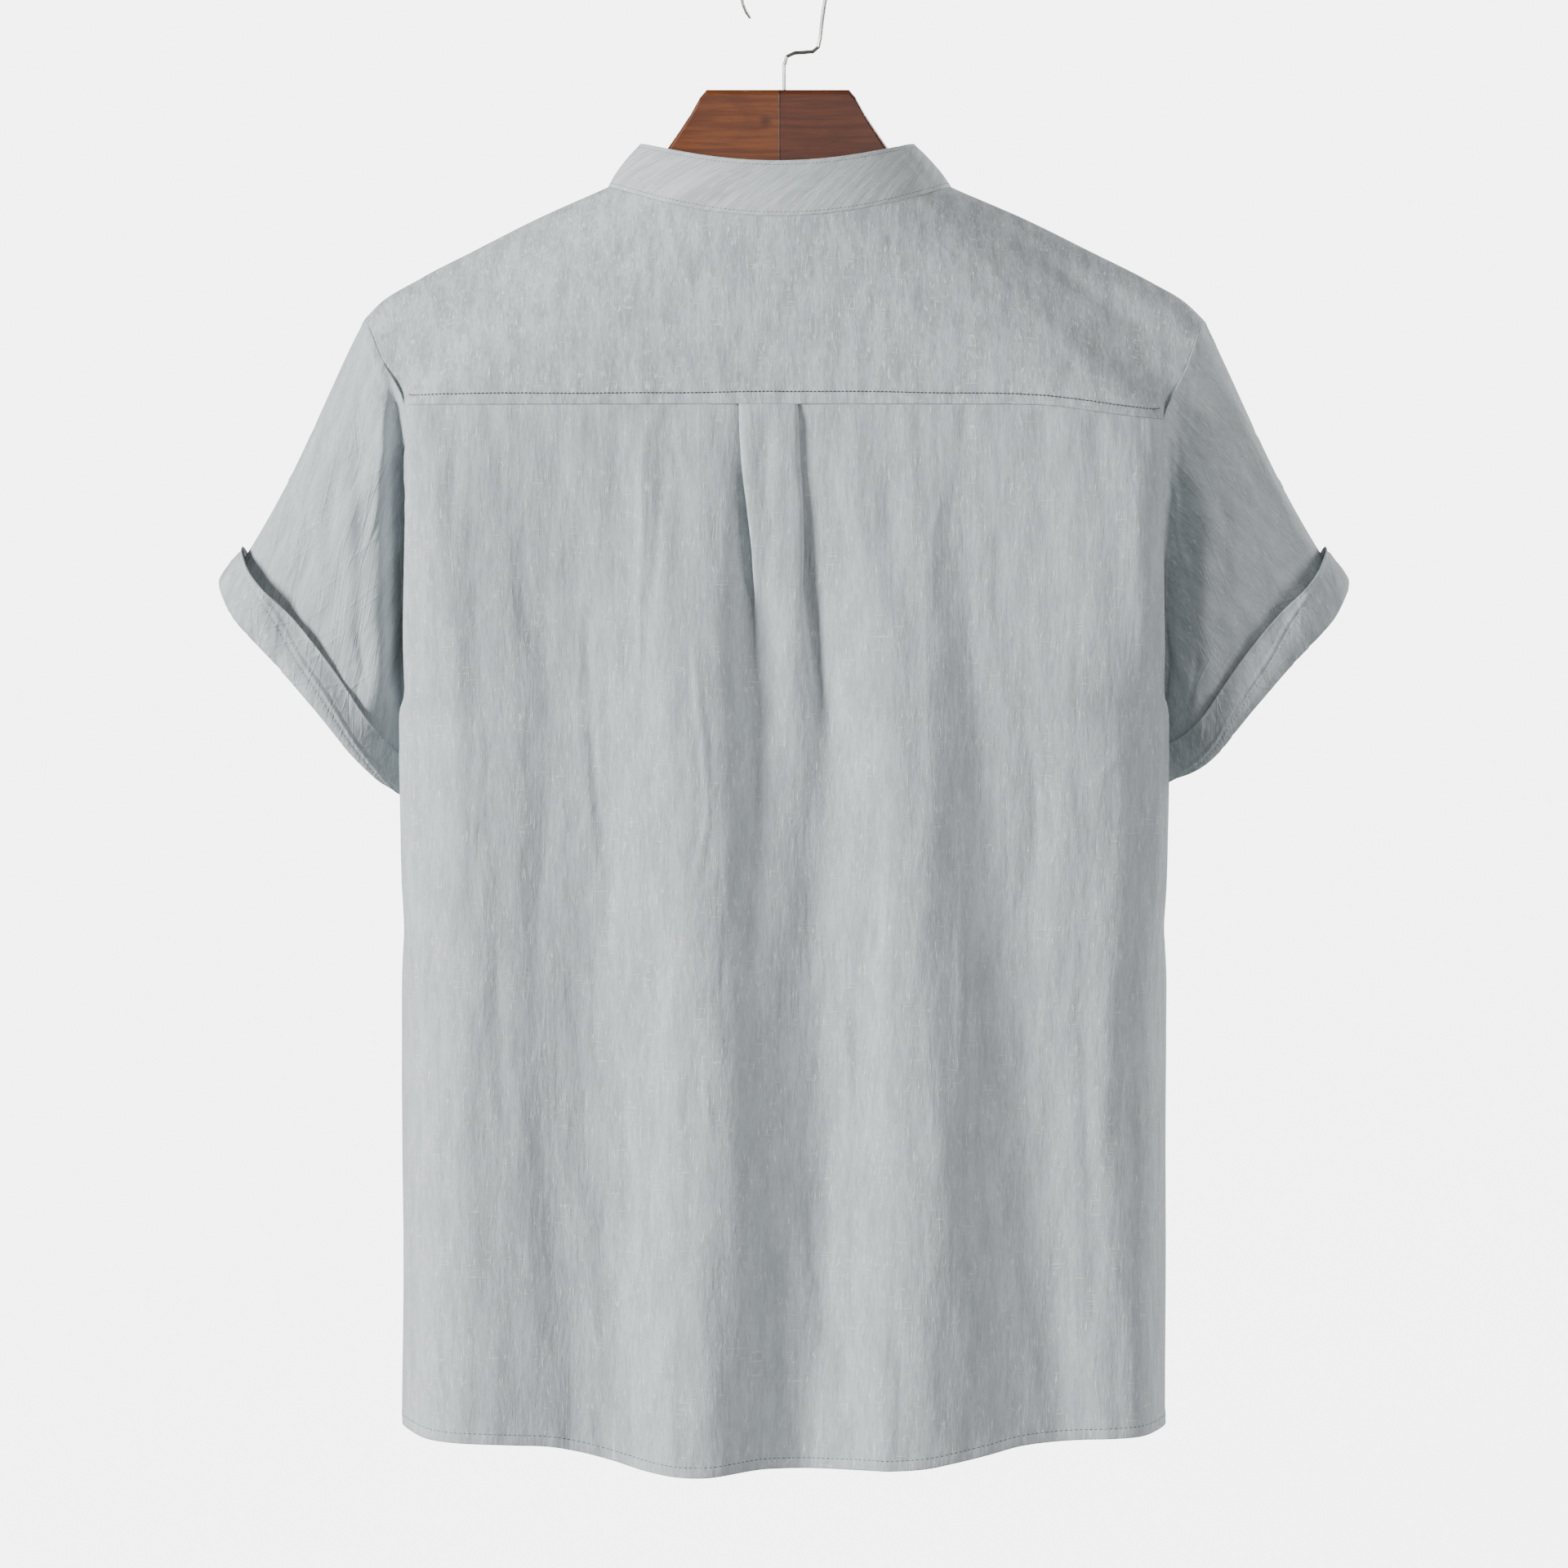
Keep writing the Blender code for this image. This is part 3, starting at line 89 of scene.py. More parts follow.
CUFF_TIP, CUFF_END = (327.0, -373.0), (221.5, -490.0)   # the sleeve mouth's outer and inner ends
CUFF_Y, CUFF_DEPTH = -8.0, 30.0         # its middle and half depth, front to back
RIGHT_END_RISE = 7.0         # the right mouth's inner end is drawn up this much
CUFF_FULLNESS = (0.8, 0.9, 1.3)         # blunt at the outer end, 1 an ellipse, pinched below

# The glue joint's section through the middle of the hanger.
WOOD_JOINT = 2.6             # where the hanger's halves meet
WOOD_TOP, WOOD_BOTTOM = -82.0, -150.0
WOOD_Y, WOOD_HALF_Y, WOOD_CORNER = -5.0, 11.5, 3.0


class Table:
    """Rows of named sizes; the first column is what the others are read against."""

    def __init__(self, columns, *rows):
        self.columns = columns.split()
        self.rows = np.array(rows, float)

    def __getitem__(self, name):
        return self.rows[:, self.columns.index(name)]

    def at(self, name, key):
        return curve(self.rows[:, 0], self[name], key)


# The body by height: depth at centre back and centre front, half width, and how far its side
# seams are pressed in beside the sleeves' ends.
BODY = Table(
    "z    back  front  half   pinch",
    (-206, 55.0, -61.5, 231.0,  0.0),
    (-270, 60.0, -66.0, 220.8,  0.0),
    (-308, 63.5, -68.0, 221.0,  0.0),
    (-350, 67.0, -70.0, 222.0,  0.0),
    (-400, 71.0, -72.0, 222.6,  0.0),
    (-446, 74.0, -73.5, 223.0, 12.5),
    (-470, 75.0, -74.0, 223.0, 20.0),
    (-500, 75.5, -74.5, 223.0, 20.0),
    (-526, 76.0, -75.0, 223.0, 11.0),
    (-565, 76.5, -75.0, 223.0,  2.5),
    (-600, 77.0, -75.5, 223.0,  0.0),
    (-890, 79.0, -77.0, 223.0,  0.0))

# The left armhole, from the underarm up the front, over the shoulder and down the back.
ARMHOLE = Table(
    "place x      y      z",
    (0,  210.5,  -8.0, -446.0),
    (1,  213.0, -25.0, -420.0),
    (2,  212.5, -36.0, -380.0),
    (3,  212.0, -41.0, -333.0),
    (4,  216.0, -41.0, -288.0),
    (5,  230.0, -32.0, -240.0),    # seam in front of the shoulder
    (6,  240.5, -20.0, -221.5),
    (7,  245.5,  -6.0, -215.5),    # top of the shoulder
    (8,  243.0,  10.0, -221.5),
    (9,  234.0,  24.0, -242.0),
    (10, 220.5,  36.0, -269.6),    # end of the yoke seam
    (11, 219.5,  39.0, -308.0),
    (12, 219.0,  37.0, -348.0),
    (13, 219.5,  29.0, -388.0),
    (14, 219.0,  13.0, -424.0))
PLACES = len(ARMHOLE.rows)
FRONT_SEAM, SHOULDER_TOP, YOKE_END = 5, 7, 10
RIGHT_YOKE_DROP = 8.0        # the yoke seam runs this much lower at its right end
UNDERARM_ROW, HEM_ROW = 5.0, 10.0    # panel rows are numbered 0 at the top to 10 at the hem

# The inner edge of a front: neck angles by row, then heights down the centre front.
FRONT_NECK = Table("row angle", (0.0, 113.8), (0.5, 119.0), (1.0, 126.0), (1.5, 135.0),
                   (2.0, 148.0))
CENTRE_ROW = 2.5             # the row that starts where the neckline meets the button band
FRONT_CENTRE = Table("row z", (2.5, -206), (3.5, -297), (5, -440))
FRONT_BULGE = Table("row out", (0, 0), (1, 6), (2, 9), (3, 8), (4, 4), (5, 0))

# Lower edge of the body at the back and at the front.
BACK_HEM = Table(
    "x   z",
    (-223, -864.0), (-205, -867.0), (-165, -869.0), (-137, -871.5), (-108, -878.0),
    (-65, -884.0), (-22, -884.0), (8, -884.0), (51, -888.0), (78, -885.0),
    (108, -877.5), (136, -872.0), (165, -870.5), (200, -869.0), (223, -864.0))
FRONT_HEM = Table("x z", (-223, -864), (-130, -867), (0, -874), (130, -867), (223, -864))

# Soft folds that hang from the yoke and chest: where each crest (+) and hollow (-) runs at
# four heights, and how far it stands out there.
FOLD_HEIGHTS = (-300.0, -520.0, -700.0, -885.0)
FOLD_START, FOLD_GROWTH = -255.0, 120.0   # height where the folds begin, and their growth below it
FOLD_MARGIN = 25.0           # degrees of the body's ring in which they die away at a side seam
BACK_FOLDS = Table(
    "fold x1    x2    x3    x4    out1  out2  out3   out4",
    (0,  -205, -208, -208, -208,  4.0,  9.0,  11.5,  11.5),
    (1,  -104, -123, -136, -160, -1.0, -5.5,  -7.5,  -9.0),
    (2,   -66,  -74,  -78,  -69,  2.0,  7.0,   9.0,   9.5),
    (3,   -12,  -20,  -20,  -10, -0.5, -9.0, -10.5, -11.0),
    (4,    62,   50,   44,   52,  2.0,  8.5,  10.0,  10.5),
    (5,   126,  113,  108,  107, -1.5, -9.5, -12.0, -12.5),
    (6,   204,  203,  202,  201,  4.0, 10.0,  12.5,  12.5))
FRONT_FOLDS = Table(
    "fold x1    x2    x3    x4    out1  out2 out3  out4",
    (0, -188, -182, -180, -184,  0.5,  4.0,  5.5,  6.0),
    (1, -122, -128, -132, -128, -0.5, -4.5, -7.0, -8.0),
    (2,  -72,  -76,  -80,  -74,  1.0,  4.0,  6.5,  8.0),
    (3,  -22,  -24,  -24,  -24,  0.0, -1.5, -2.5, -3.0),
    (4,   22,   24,   24,   24,  0.0, -1.5, -2.5, -3.0),
    (5,   78,   70,   68,   76,  1.5,  5.0,  7.0,  7.5),
    (6,  130,  124,  118,  122, -0.5, -5.0, -7.5, -8.5),
    (7,  190,  182,  178,  184,  0.5,  4.5,  6.0,  6.5))

# One side of the box pleat in plan, from the panel to the middle of the raised strip: distances
# from the fold's edge towards the strip, first sewn shut under the yoke and then fallen open.
PLEAT_SIDE = Table(
    "point shut   open",
    (0,  -16.0, -27.0),
    (1,   -7.0, -20.0),
    (2,    2.0, -14.0),
    (3,    9.0,  -9.5),
    (4,   13.0,  -6.0),
    (5,   14.6,  -3.5),
    (6,   13.0,  -1.5),
    (7,    8.0,   0.5),
    (8,    2.0,   2.5),
    (9,    0.0,   5.0),
    (10,   2.0,   8.0),
    (11,   8.0,  11.5))
# Where the strip's two fold edges run, and how far each of its sides is still shut.
PLEAT_RUN = Table(
    "z   left   right  shut_left shut_right strip",
    (-264, 26.2,  -7.8, 1.00, 1.00, 2.3),
    (-300, 24.4,  -8.6, 0.97, 0.97, 2.2),
    (-336, 21.6, -11.2, 0.80, 0.86, 2.2),
    (-368, 20.0, -12.6, 0.45, 0.60, 1.7),
    (-390, 19.1, -13.9, 0.20, 0.34, 0.1),
    (-437, 16.7, -18.6, 0.00, 0.12, -1.2),
    (-470, 15.5, -22.6, 0.00, 0.00, 0.2),
    (-520, 15.0, -25.0, 0.00, 0.00, 0.1),
    (-560, 15.0, -25.0, 0.00, 0.00, 0.0),
    (-890, 15.0, -25.0, 0.00, 0.00, 0.0))
# How far each point of the two sides stands out from the body, down the pleat.
PLEAT_LEFT = Table(
    "z  out0 out1 out2 out3 out4 out5 out6 out7 out8 out9 out10 out11",
    (-264, 0.0, -1.0, -2.0, -2.1, -1.9, -1.1, -0.2, -0.1, 0.1, 1.1, 2.0, 2.2),
    (-285, 0.2, -0.7, -2.6, -2.8, -2.5, -1.6, -0.5, -0.3, 0.0, 1.0, 1.8, 2.1),
    (-300, 0.3, -0.5, -3.7, -4.4, -4.1, -2.9, -1.4, -0.9, -0.3, 0.8, 1.6, 1.9),
    (-336, 0.4, -0.9, -5.3, -6.4, -6.1, -4.6, -2.7, -1.8, -0.9, 0.3, 1.1, 1.3),
    (-368, 0.5, -0.7, -4.1, -7.0, -7.6, -6.6, -4.9, -3.7, -2.4, -1.3, -0.5, -0.1),
    (-390, 0.5, -0.3, -3.2, -6.5, -8.1, -8.3, -8.0, -7.5, -6.8, -6.0, -5.1, -4.0),
    (-437, 0.4, -0.2, -2.2, -4.4, -5.9, -6.6, -6.8, -6.7, -6.4, -5.8, -4.8, -3.5),
    (-470, 0.2, -0.2, -1.5, -3.2, -4.3, -4.9, -5.1, -5.0, -4.6, -3.9, -2.9, -1.7),
    (-520, 0.1, -0.2, -1.0, -2.0, -2.7, -3.1, -3.2, -3.0, -2.6, -2.0, -1.2, -0.5),
    (-560, 0.0, -0.1, -0.6, -1.2, -1.6, -1.8, -1.9, -1.7, -1.4, -1.0, -0.6, -0.2),
    (-640, 0.0, 0.0, -0.2, -0.5, -0.7, -0.8, -0.8, -0.7, -0.5, -0.3, -0.1, 0.0),
    (-720, 0.0, 0.0, 0.0, 0.0, 0.0, 0.0, 0.0, 0.0, 0.0, 0.0, 0.0, 0.0),
    (-890, 0.0, 0.0, 0.0, 0.0, 0.0, 0.0, 0.0, 0.0, 0.0, 0.0, 0.0, 0.0))
PLEAT_RIGHT = Table(
    "z  out0 out1 out2 out3 out4 out5 out6 out7 out8 out9 out10 out11",
    (-264, 0.0, -1.0, -2.0, -2.1, -1.9, -1.1, -0.2, -0.1, 0.1, 1.1, 2.0, 2.2),
    (-300, 0.0, -1.0, -2.0, -2.1, -1.9, -1.1, -0.2, 0.0, 0.2, 1.2, 2.0, 2.2),
    (-336, 0.0, -1.1, -2.3, -2.7, -2.5, -1.4, -0.2, 0.1, 0.5, 1.7, 2.5, 2.7),
    (-368, 0.0, -1.2, -2.7, -3.4, -3.1, -1.8, -0.5, 0.1, 0.8, 2.2, 3.1, 3.0),
    (-390, 0.0, -1.3, -3.0, -4.1, -4.1, -3.1, -1.6, -0.3, 0.9, 2.1, 2.8, 2.6),
    (-437, 0.0, -1.3, -3.3, -4.5, -4.7, -4.1, -3.0, -1.8, -0.7, 0.1, 0.4, 0.3),
    (-470, 0.0, -0.6, -1.6, -2.3, -2.3, -1.9, -1.2, -0.4, 0.4, 1.0, 1.2, 1.0),
    (-520, 0.0, -0.1, -0.3, -0.4, -0.4, -0.2, 0.0, 0.2, 0.3, 0.4, 0.4, 0.3),
    (-560, 0.0, 0.0, 0.0, 0.0, 0.0, 0.0, 0.0, 0.0, 0.0, 0.0, 0.0, 0.0),
    (-890, 0.0, 0.0, 0.0, 0.0, 0.0, 0.0, 0.0, 0.0, 0.0, 0.0, 0.0, 0.0))
PLEAT_REACH = 62.0           # the pleat's own columns begin this far from the centre back

YOKE_LIFT = Table("across rise", (0, 0), (0.026, 2.7), (0.116, 5.4), (0.235, 5.9), (0.5, 5.1),
                  (0.76, 3.8), (0.913, 1.7), (1, 0))

# The turned-up sleeve end, as a section from the free upper edge round the fold at the bottom.
CUFF_SECTION = Table(
    "point up     out",
    (0,  24.0,  3.0),
    (1,  15.0,  5.0),
    (2,   6.0,  6.4),
    (3,  -0.5,  5.8),
    (4,  -3.2,  2.8),
    (5,  -0.6,  0.4))
# Round the mouth from its outer end (0) along the back (+1) or front (-1) to the underarm: how
# wide the turn-up is, how far its free edge stands off the sleeve, and how full its roll is.
CUFF_ROUND = Table(
    "round width stand roll",
    (-1.0,  0.66, 0.0, 0.50),
    (-0.85, 0.74, 0.0, 0.60),
    (-0.6,  0.90, 3.0, 1.00),
    (-0.3,  1.00, 7.0, 1.00),
    (0.0,   1.00, 0.5, 1.00),
    (0.2,   1.00, 8.0, 1.00),
    (0.4,   1.00, 6.0, 1.00),
    (0.65,  0.92, 2.0, 1.00),
    (0.85,  0.78, 0.2, 0.65),
    (1.0,   0.66, 0.0, 0.50))
# How far the mouth's edge bows outward, from its underarm end (-1) to its outer end (1).
CUFF_BOW = Table("along out", (-1.0, 3.0), (-0.86, 7.5), (-0.6, 8.5), (-0.2, 6.0), (0.3, 5.0),
                 (0.7, 6.0), (0.88, 4.0), (1.0, 0.0))
SLEEVE_DRAW = 4.0            # how far the sleeve's outer line draws in above the turned-up end
SLEEVE_FULL = 7.0            # how far the sleeve's front and back fill out half way along
COLLAR_FULL = 1.5            # how far the collar bows outward between its edges
SLEEVE_HOLLOW = 16.6         # depth of the hollow in the sleeve beside the body's edge
SLEEVE_HOLLOW_AT = 0.10      # its place, as a share of the sleeve's length
HOLLOW_BEHIND = (9.0, 5.3)   # armhole places where it starts at the back, and how many it spans
HOLLOW_BEFORE = (0.8, 5.0)   # the same at the front
HOLLOW_POWER = 1.2           # how narrow it is round the sleeve
SLEEVE_SHELF = 7.0           # how far the underarm stands away from the body before it drops

# ------------------------------------------------------------------ stations of the grids
SIDE_STATIONS = 12           # columns from each side seam to the pleat
FRONT_STATIONS = 15          # columns from the button band to each side
UPPER_ROWS = np.arange(0.0, 5.01, 0.5)
LOWER_ROWS = np.array([5.25, 5.5, 5.8, 6.2, 6.7, 7.3, 8.0, 8.7, 9.35, 10.0])
YOKE_ROWS = np.array([0.0, 0.06, 0.2, 0.45, 0.72, 1.0])
YOKE_ROUNDING = (0, 1, 3, 8, 12, 12)  # how often each row's corner at the yoke seam is softened
YOKE_MIDDLE = np.linspace(45.0, -45.0, 6)   # its columns across the pleat
COLLAR_ROWS = np.array([0.0, 0.33, 0.67, 1.0])
SLEEVE_ROWS = np.array([0.0, 0.04, 0.10, 0.17, 0.27, 0.42, 0.60, 0.80, 1.0])
FINE_STEPS = 600             # steps used to measure along a curve


# ------------------------------------------------------------------ curves and tables
def curve(keys, values, at):
    """Smooth curve through (keys, values) that never overshoots them, held level past its ends."""
    order = np.argsort(keys)
    keys = np.asarray(keys, float)[order]
    values = np.asarray(values, float)[order]
    step = np.diff(keys)
    slope = np.diff(values) / step
    bend = np.zeros_like(values)
    bend[0], bend[-1] = slope[0], slope[-1]
    before, after = slope[:-1], slope[1:]
    agree = before * after > 0
    weight_1 = 2 * step[1:] + step[:-1]
    weight_2 = step[1:] + 2 * step[:-1]
    harmonic = (weight_1 + weight_2) / (weight_1 / np.where(agree, before, 1)
                                        + weight_2 / np.where(agree, after, 1))
    bend[1:-1] = np.where(agree, harmonic, 0)
    at = np.clip(np.asarray(at, float), keys[0], keys[-1])
    left = np.clip(np.searchsorted(keys, at, side="right") - 1, 0, len(keys) - 2)
    t = (at - keys[left]) / step[left]
    return ((1 + 2 * t) * (1 - t) ** 2 * values[left]
            + t * (1 - t) ** 2 * step[left] * bend[left]
            + t * t * (3 - 2 * t) * values[left + 1]
            + t * t * (t - 1) * step[left] * bend[left + 1])


def soft_step(t):
    t = np.clip(t, 0.0, 1.0)
    return t * t * (3 - 2 * t)


def unit(vectors):
    return vectors / np.maximum(np.linalg.norm(vectors, axis=-1, keepdims=True), 1e-9)


def armhole_point(place, side):
    """Point of an armhole seam; whole numbers are the table's rows, and it closes on itself."""
    points = ARMHOLE.rows[:, 1:]
    start = math.floor(place)
    t = place - start
    p0, p1, p2, p3 = (points[(start + shift) % PLACES] for shift in (-1, 0, 1, 2))
    point = 0.5 * (2 * p1 + (p2 - p0) * t + (2 * p0 - 5 * p1 + 4 * p2 - p3) * t * t
                   + (3 * p1 - p0 - 3 * p2 + p3) * t ** 3)
    if side < 0:
        point = point * (-1, 1, 1)
        point[2] -= RIGHT_YOKE_DROP * math.exp(-((place - YOKE_END) / 1.6) ** 2)
    return point


def neck_point(angle):
    """Point of the neckline; the angle is 0 at the centre back and positive on the left."""
    along = math.cos(angle)
    reach, low = (NECK_BACK, NECK_BACK_Z) if along > 0 else (NECK_FRONT, NECK_FRONT_Z)
    return np.array((NECK_X + NECK_HALF * math.sin(angle),
                     NECK_Y + reach * along,
                     NECK_SIDE_Z + (low - NECK_SIDE_Z) * along * along))


def collar_top(angle):
    """Point of the collar's upper edge, whose front corners are rounded off."""
    along = math.cos(angle)
    reach, low = (COLLAR_BACK, COLLAR_BACK_Z) if along > 0 else (COLLAR_FRONT, COLLAR_FRONT_Z)
    top = np.array((COLLAR_X + COLLAR_HALF * math.sin(angle),
                    NECK_Y + reach * along,
                    COLLAR_SIDE_Z + (low - COLLAR_SIDE_Z) * along * along))
    corner = soft_step((abs(angle) - math.radians(166)) / math.radians(14))
    return top + (neck_point(angle) - top) * 0.5 * corner


# ------------------------------------------------------------------ the body
def quarter_stations(count):
    """Angles that part a quarter of the body's ring evenly, from its centre to its side."""
    fine = np.linspace(0, math.pi / 2, FINE_STEPS)
    x = HALF_WIDTH * np.sin(fine) ** CUT_POWER
    y = BODY["back"][-1] * np.cos(fine) ** CUT_POWER
    length = np.concatenate(([0], np.cumsum(np.hypot(np.diff(x), np.diff(y)))))
    return np.interp(np.linspace(0, 1, count + 1) * length[-1], length, fine)


def ring_x(angle, half, side_x):
    """Distance out along a ring that is `half` wide and pressed in to `side_x` at its seam."""
    fine = np.linspace(0.6 * math.pi / 2, math.pi / 2, 90)

    def shape(at, size):
        turn = soft_step((at - PINCH_START) / (math.pi / 2 - PINCH_START))
        return size * np.sin(at) ** CUT_POWER - turn * (size - side_x)

    size = half
    for _ in range(4):
        size *= half / shape(fine, size).max()
    return float(shape(angle, size))


def ring_depth(reach):
    """Share of a ring's depth that is left at a share of its half width."""
    return max(1 - abs(reach) ** (2 / CUT_POWER), 0) ** (CUT_POWER / 2)


def ring_half(edge, full):
    """Half width of the ring that ends at a panel's edge; `full` is how far it swells past it."""
    return abs(edge[0]) + max(float(BODY.at("half", edge[2])) - abs(edge[0]), 0) * full


def folds(table, x, z):
    """How far the hanging folds stand out at (x, z)."""
    crests = [curve(FOLD_HEIGHTS, [table["x%d" % n][row] for n in (1, 2, 3, 4)], z)
              for row in range(len(table.rows))]
    heights = [curve(FOLD_HEIGHTS, [table["out%d" % n][row] for n in (1, 2, 3, 4)], z)
               for row in range(len(table.rows))]
    keys = np.array([-HALF_WIDTH] + [float(c) for c in crests] + [HALF_WIDTH])
    values = np.array([0.0] + [float(h) for h in heights] + [0.0])
    place = int(np.clip(np.searchsorted(keys, x) - 1, 0, len(keys) - 2))
    t = soft_step((x - keys[place]) / (keys[place + 1] - keys[place]))
    fade = soft_step((FOLD_START - z) / FOLD_GROWTH)
    return float(values[place] + (values[place + 1] - values[place]) * t) * fade


def edge_point(row, side, behind):
    """Outer edge of a body panel: its armhole down to the underarm, then the side seam."""
    if row <= UNDERARM_ROW:
        place = YOKE_END + row if behind else FRONT_SEAM - row
        return armhole_point(place % PLACES, side)
    top = armhole_point(0, side)
    z = top[2] + (HEM_SIDE - top[2]) * (row - UNDERARM_ROW) / (HEM_ROW - UNDERARM_ROW)
    return np.array((side * float(BODY.at("half", z) - BODY.at("pinch", z)), SIDE_Y, z))


def row_height(x, row, behind):
    """Height of a body row at x, between its two edges and down to the curved hem."""
    hem = BACK_HEM if behind else FRONT_HEM
    left = edge_point(min(row, UNDERARM_ROW), 1, behind)
    right = edge_point(min(row, UNDERARM_ROW), -1, behind)
    across = (left[0] - x) / (left[0] - right[0])
    z = left[2] + (right[2] - left[2]) * across
    if row > UNDERARM_ROW:
        share = (row - UNDERARM_ROW) / (HEM_ROW - UNDERARM_ROW)
        hem_x = x * HALF_WIDTH / abs(edge_point(row, 1, behind)[0])
        return z + (float(hem.at("z", hem_x)) - z) * share
    if behind:
        seam_left, seam_right = edge_point(0, 1, True), edge_point(0, -1, True)
        level = seam_left[2]
        level += (YOKE_CENTRE - level) * soft_step((seam_left[0] - x) / YOKE_LEVEL_LEFT)
        level += (seam_right[2] - YOKE_CENTRE) \
            * soft_step(1 - (x - seam_right[0]) / YOKE_LEVEL_RIGHT)
        straight = seam_left[2] + (seam_right[2] - seam_left[2]) * across
        z += (level - straight) * (1 - row / UNDERARM_ROW) ** 2
    return z


def side_fade(angle):
    """Share of the folds that is left at a ring angle, which is a quarter turn at the side."""
    return min(1, (90 - math.degrees(angle)) / FOLD_MARGIN)


def back_side_point(angle, side, row):
    """Point of the back between a side seam (a quarter turn) and the pleat."""
    edge = edge_point(row, side, True)
    x = side * ring_x(angle, ring_half(edge, 0.5 + 0.5 * soft_step(row - 4)), abs(edge[0]))
    z = row_height(x, row, True)
    depth = float(BODY.at("back", z))
    y = edge[1] + (depth - edge[1]) * math.cos(angle) ** CUT_POWER
    return np.array((x, y + folds(BACK_FOLDS, x, z) * side_fade(angle), z))


def back_middle_point(x, out, row):
    """Point of the back at x, standing `out` from the ring."""
    edge = edge_point(row, 1, True)
    z = row_height(x, row, True)
    y = edge[1] + (float(BODY.at("back", z)) - edge[1]) * ring_depth(x / HALF_WIDTH)
    return np.array((x, y + folds(BACK_FOLDS, x, z) + out, z))


def pleat_side(shut, stands, height):
    """Distance from the fold's edge and stand from the body of one side's points, panel first."""
    inward = PLEAT_SIDE["shut"] * shut + PLEAT_SIDE["open"] * (1 - shut)
    return [(step, float(stands.at("out%d" % point, height))) for point, step in enumerate(inward)]


def pleat_columns(row):
    """Middle of the back: the box pleat's two sides and the raised strip between them."""
    height = row_height(0.0, row, True)
    left, right, shut_left, shut_right, strip = (
        float(PLEAT_RUN.at(name, height))
        for name in ("left", "right", "shut_left", "shut_right", "strip"))
    columns = [back_middle_point(left - step, out, row)
               for step, out in pleat_side(shut_left, PLEAT_LEFT, height)]
    columns.append(back_middle_point((left + right) / 2, strip, row))
    columns += [back_middle_point(right + step, out, row)
                for step, out in pleat_side(shut_right, PLEAT_RIGHT, height)[::-1]]
    return columns


def side_angles():
    """Ring angles of the back's side columns, ending short of the pleat."""
    limit = math.asin((PLEAT_REACH / HALF_WIDTH) ** (1 / CUT_POWER))
    angles = quarter_stations(FINE_STEPS)
    wanted = np.linspace(FINE_STEPS, np.searchsorted(angles, limit), SIDE_STATIONS)
    return angles[wanted.astype(int)]


def make_back():
    rows = np.concatenate((UPPER_ROWS, LOWER_ROWS))
    grid = []
    for row in rows:
        left = [back_side_point(angle, 1, row) for angle in side_angles()]
        right = [back_side_point(angle, -1, row) for angle in side_angles()[::-1]]
        grid.append(left + pleat_columns(row) + right)
    return np.array(grid)


def neck_angle_at(x):
    """Neck angle of the point of the front neckline at x."""
    turn = math.pi - math.asin(abs(x - NECK_X) / NECK_HALF)
    return math.copysign(turn, x - NECK_X)


def front_inner_point(row, side):
    """Edge of a front: the neckline, then down beside the button band."""
    if row < CENTRE_ROW:
        return neck_point(side * math.radians(float(FRONT_NECK.at("angle", row))))
    return band_point(NECK_X + side * (PLACKET_HALF + SEAM_GAP / 2), row)


def band_point(x, row):
    """Point of the front's middle surface near the centre front, at a row below the neck."""
    if row == CENTRE_ROW:
        z = neck_point(neck_angle_at(x))[2]
    elif row <= UNDERARM_ROW:
        z = float(FRONT_CENTRE.at("z", row))
    else:
        share = (row - UNDERARM_ROW) / (HEM_ROW - UNDERARM_ROW)
        start = float(FRONT_CENTRE.at("z", UNDERARM_ROW))
        z = start + (float(FRONT_HEM.at("z", x)) - start) * share
    return np.array((x, front_centre_y(z), z))


def front_centre_y(z):
    """The front is flat across under the button band, and this deep there."""
    return float(BODY.at("front", z)) - folds(FRONT_FOLDS, 0.0, z)


def yoke_edge_rise(across):
    """Rise of the seam in front of a shoulder, which is as faceted as the yoke's edge."""
    return float(np.interp(across, YOKE_ROWS, YOKE_LIFT.at("rise", YOKE_ROWS)))


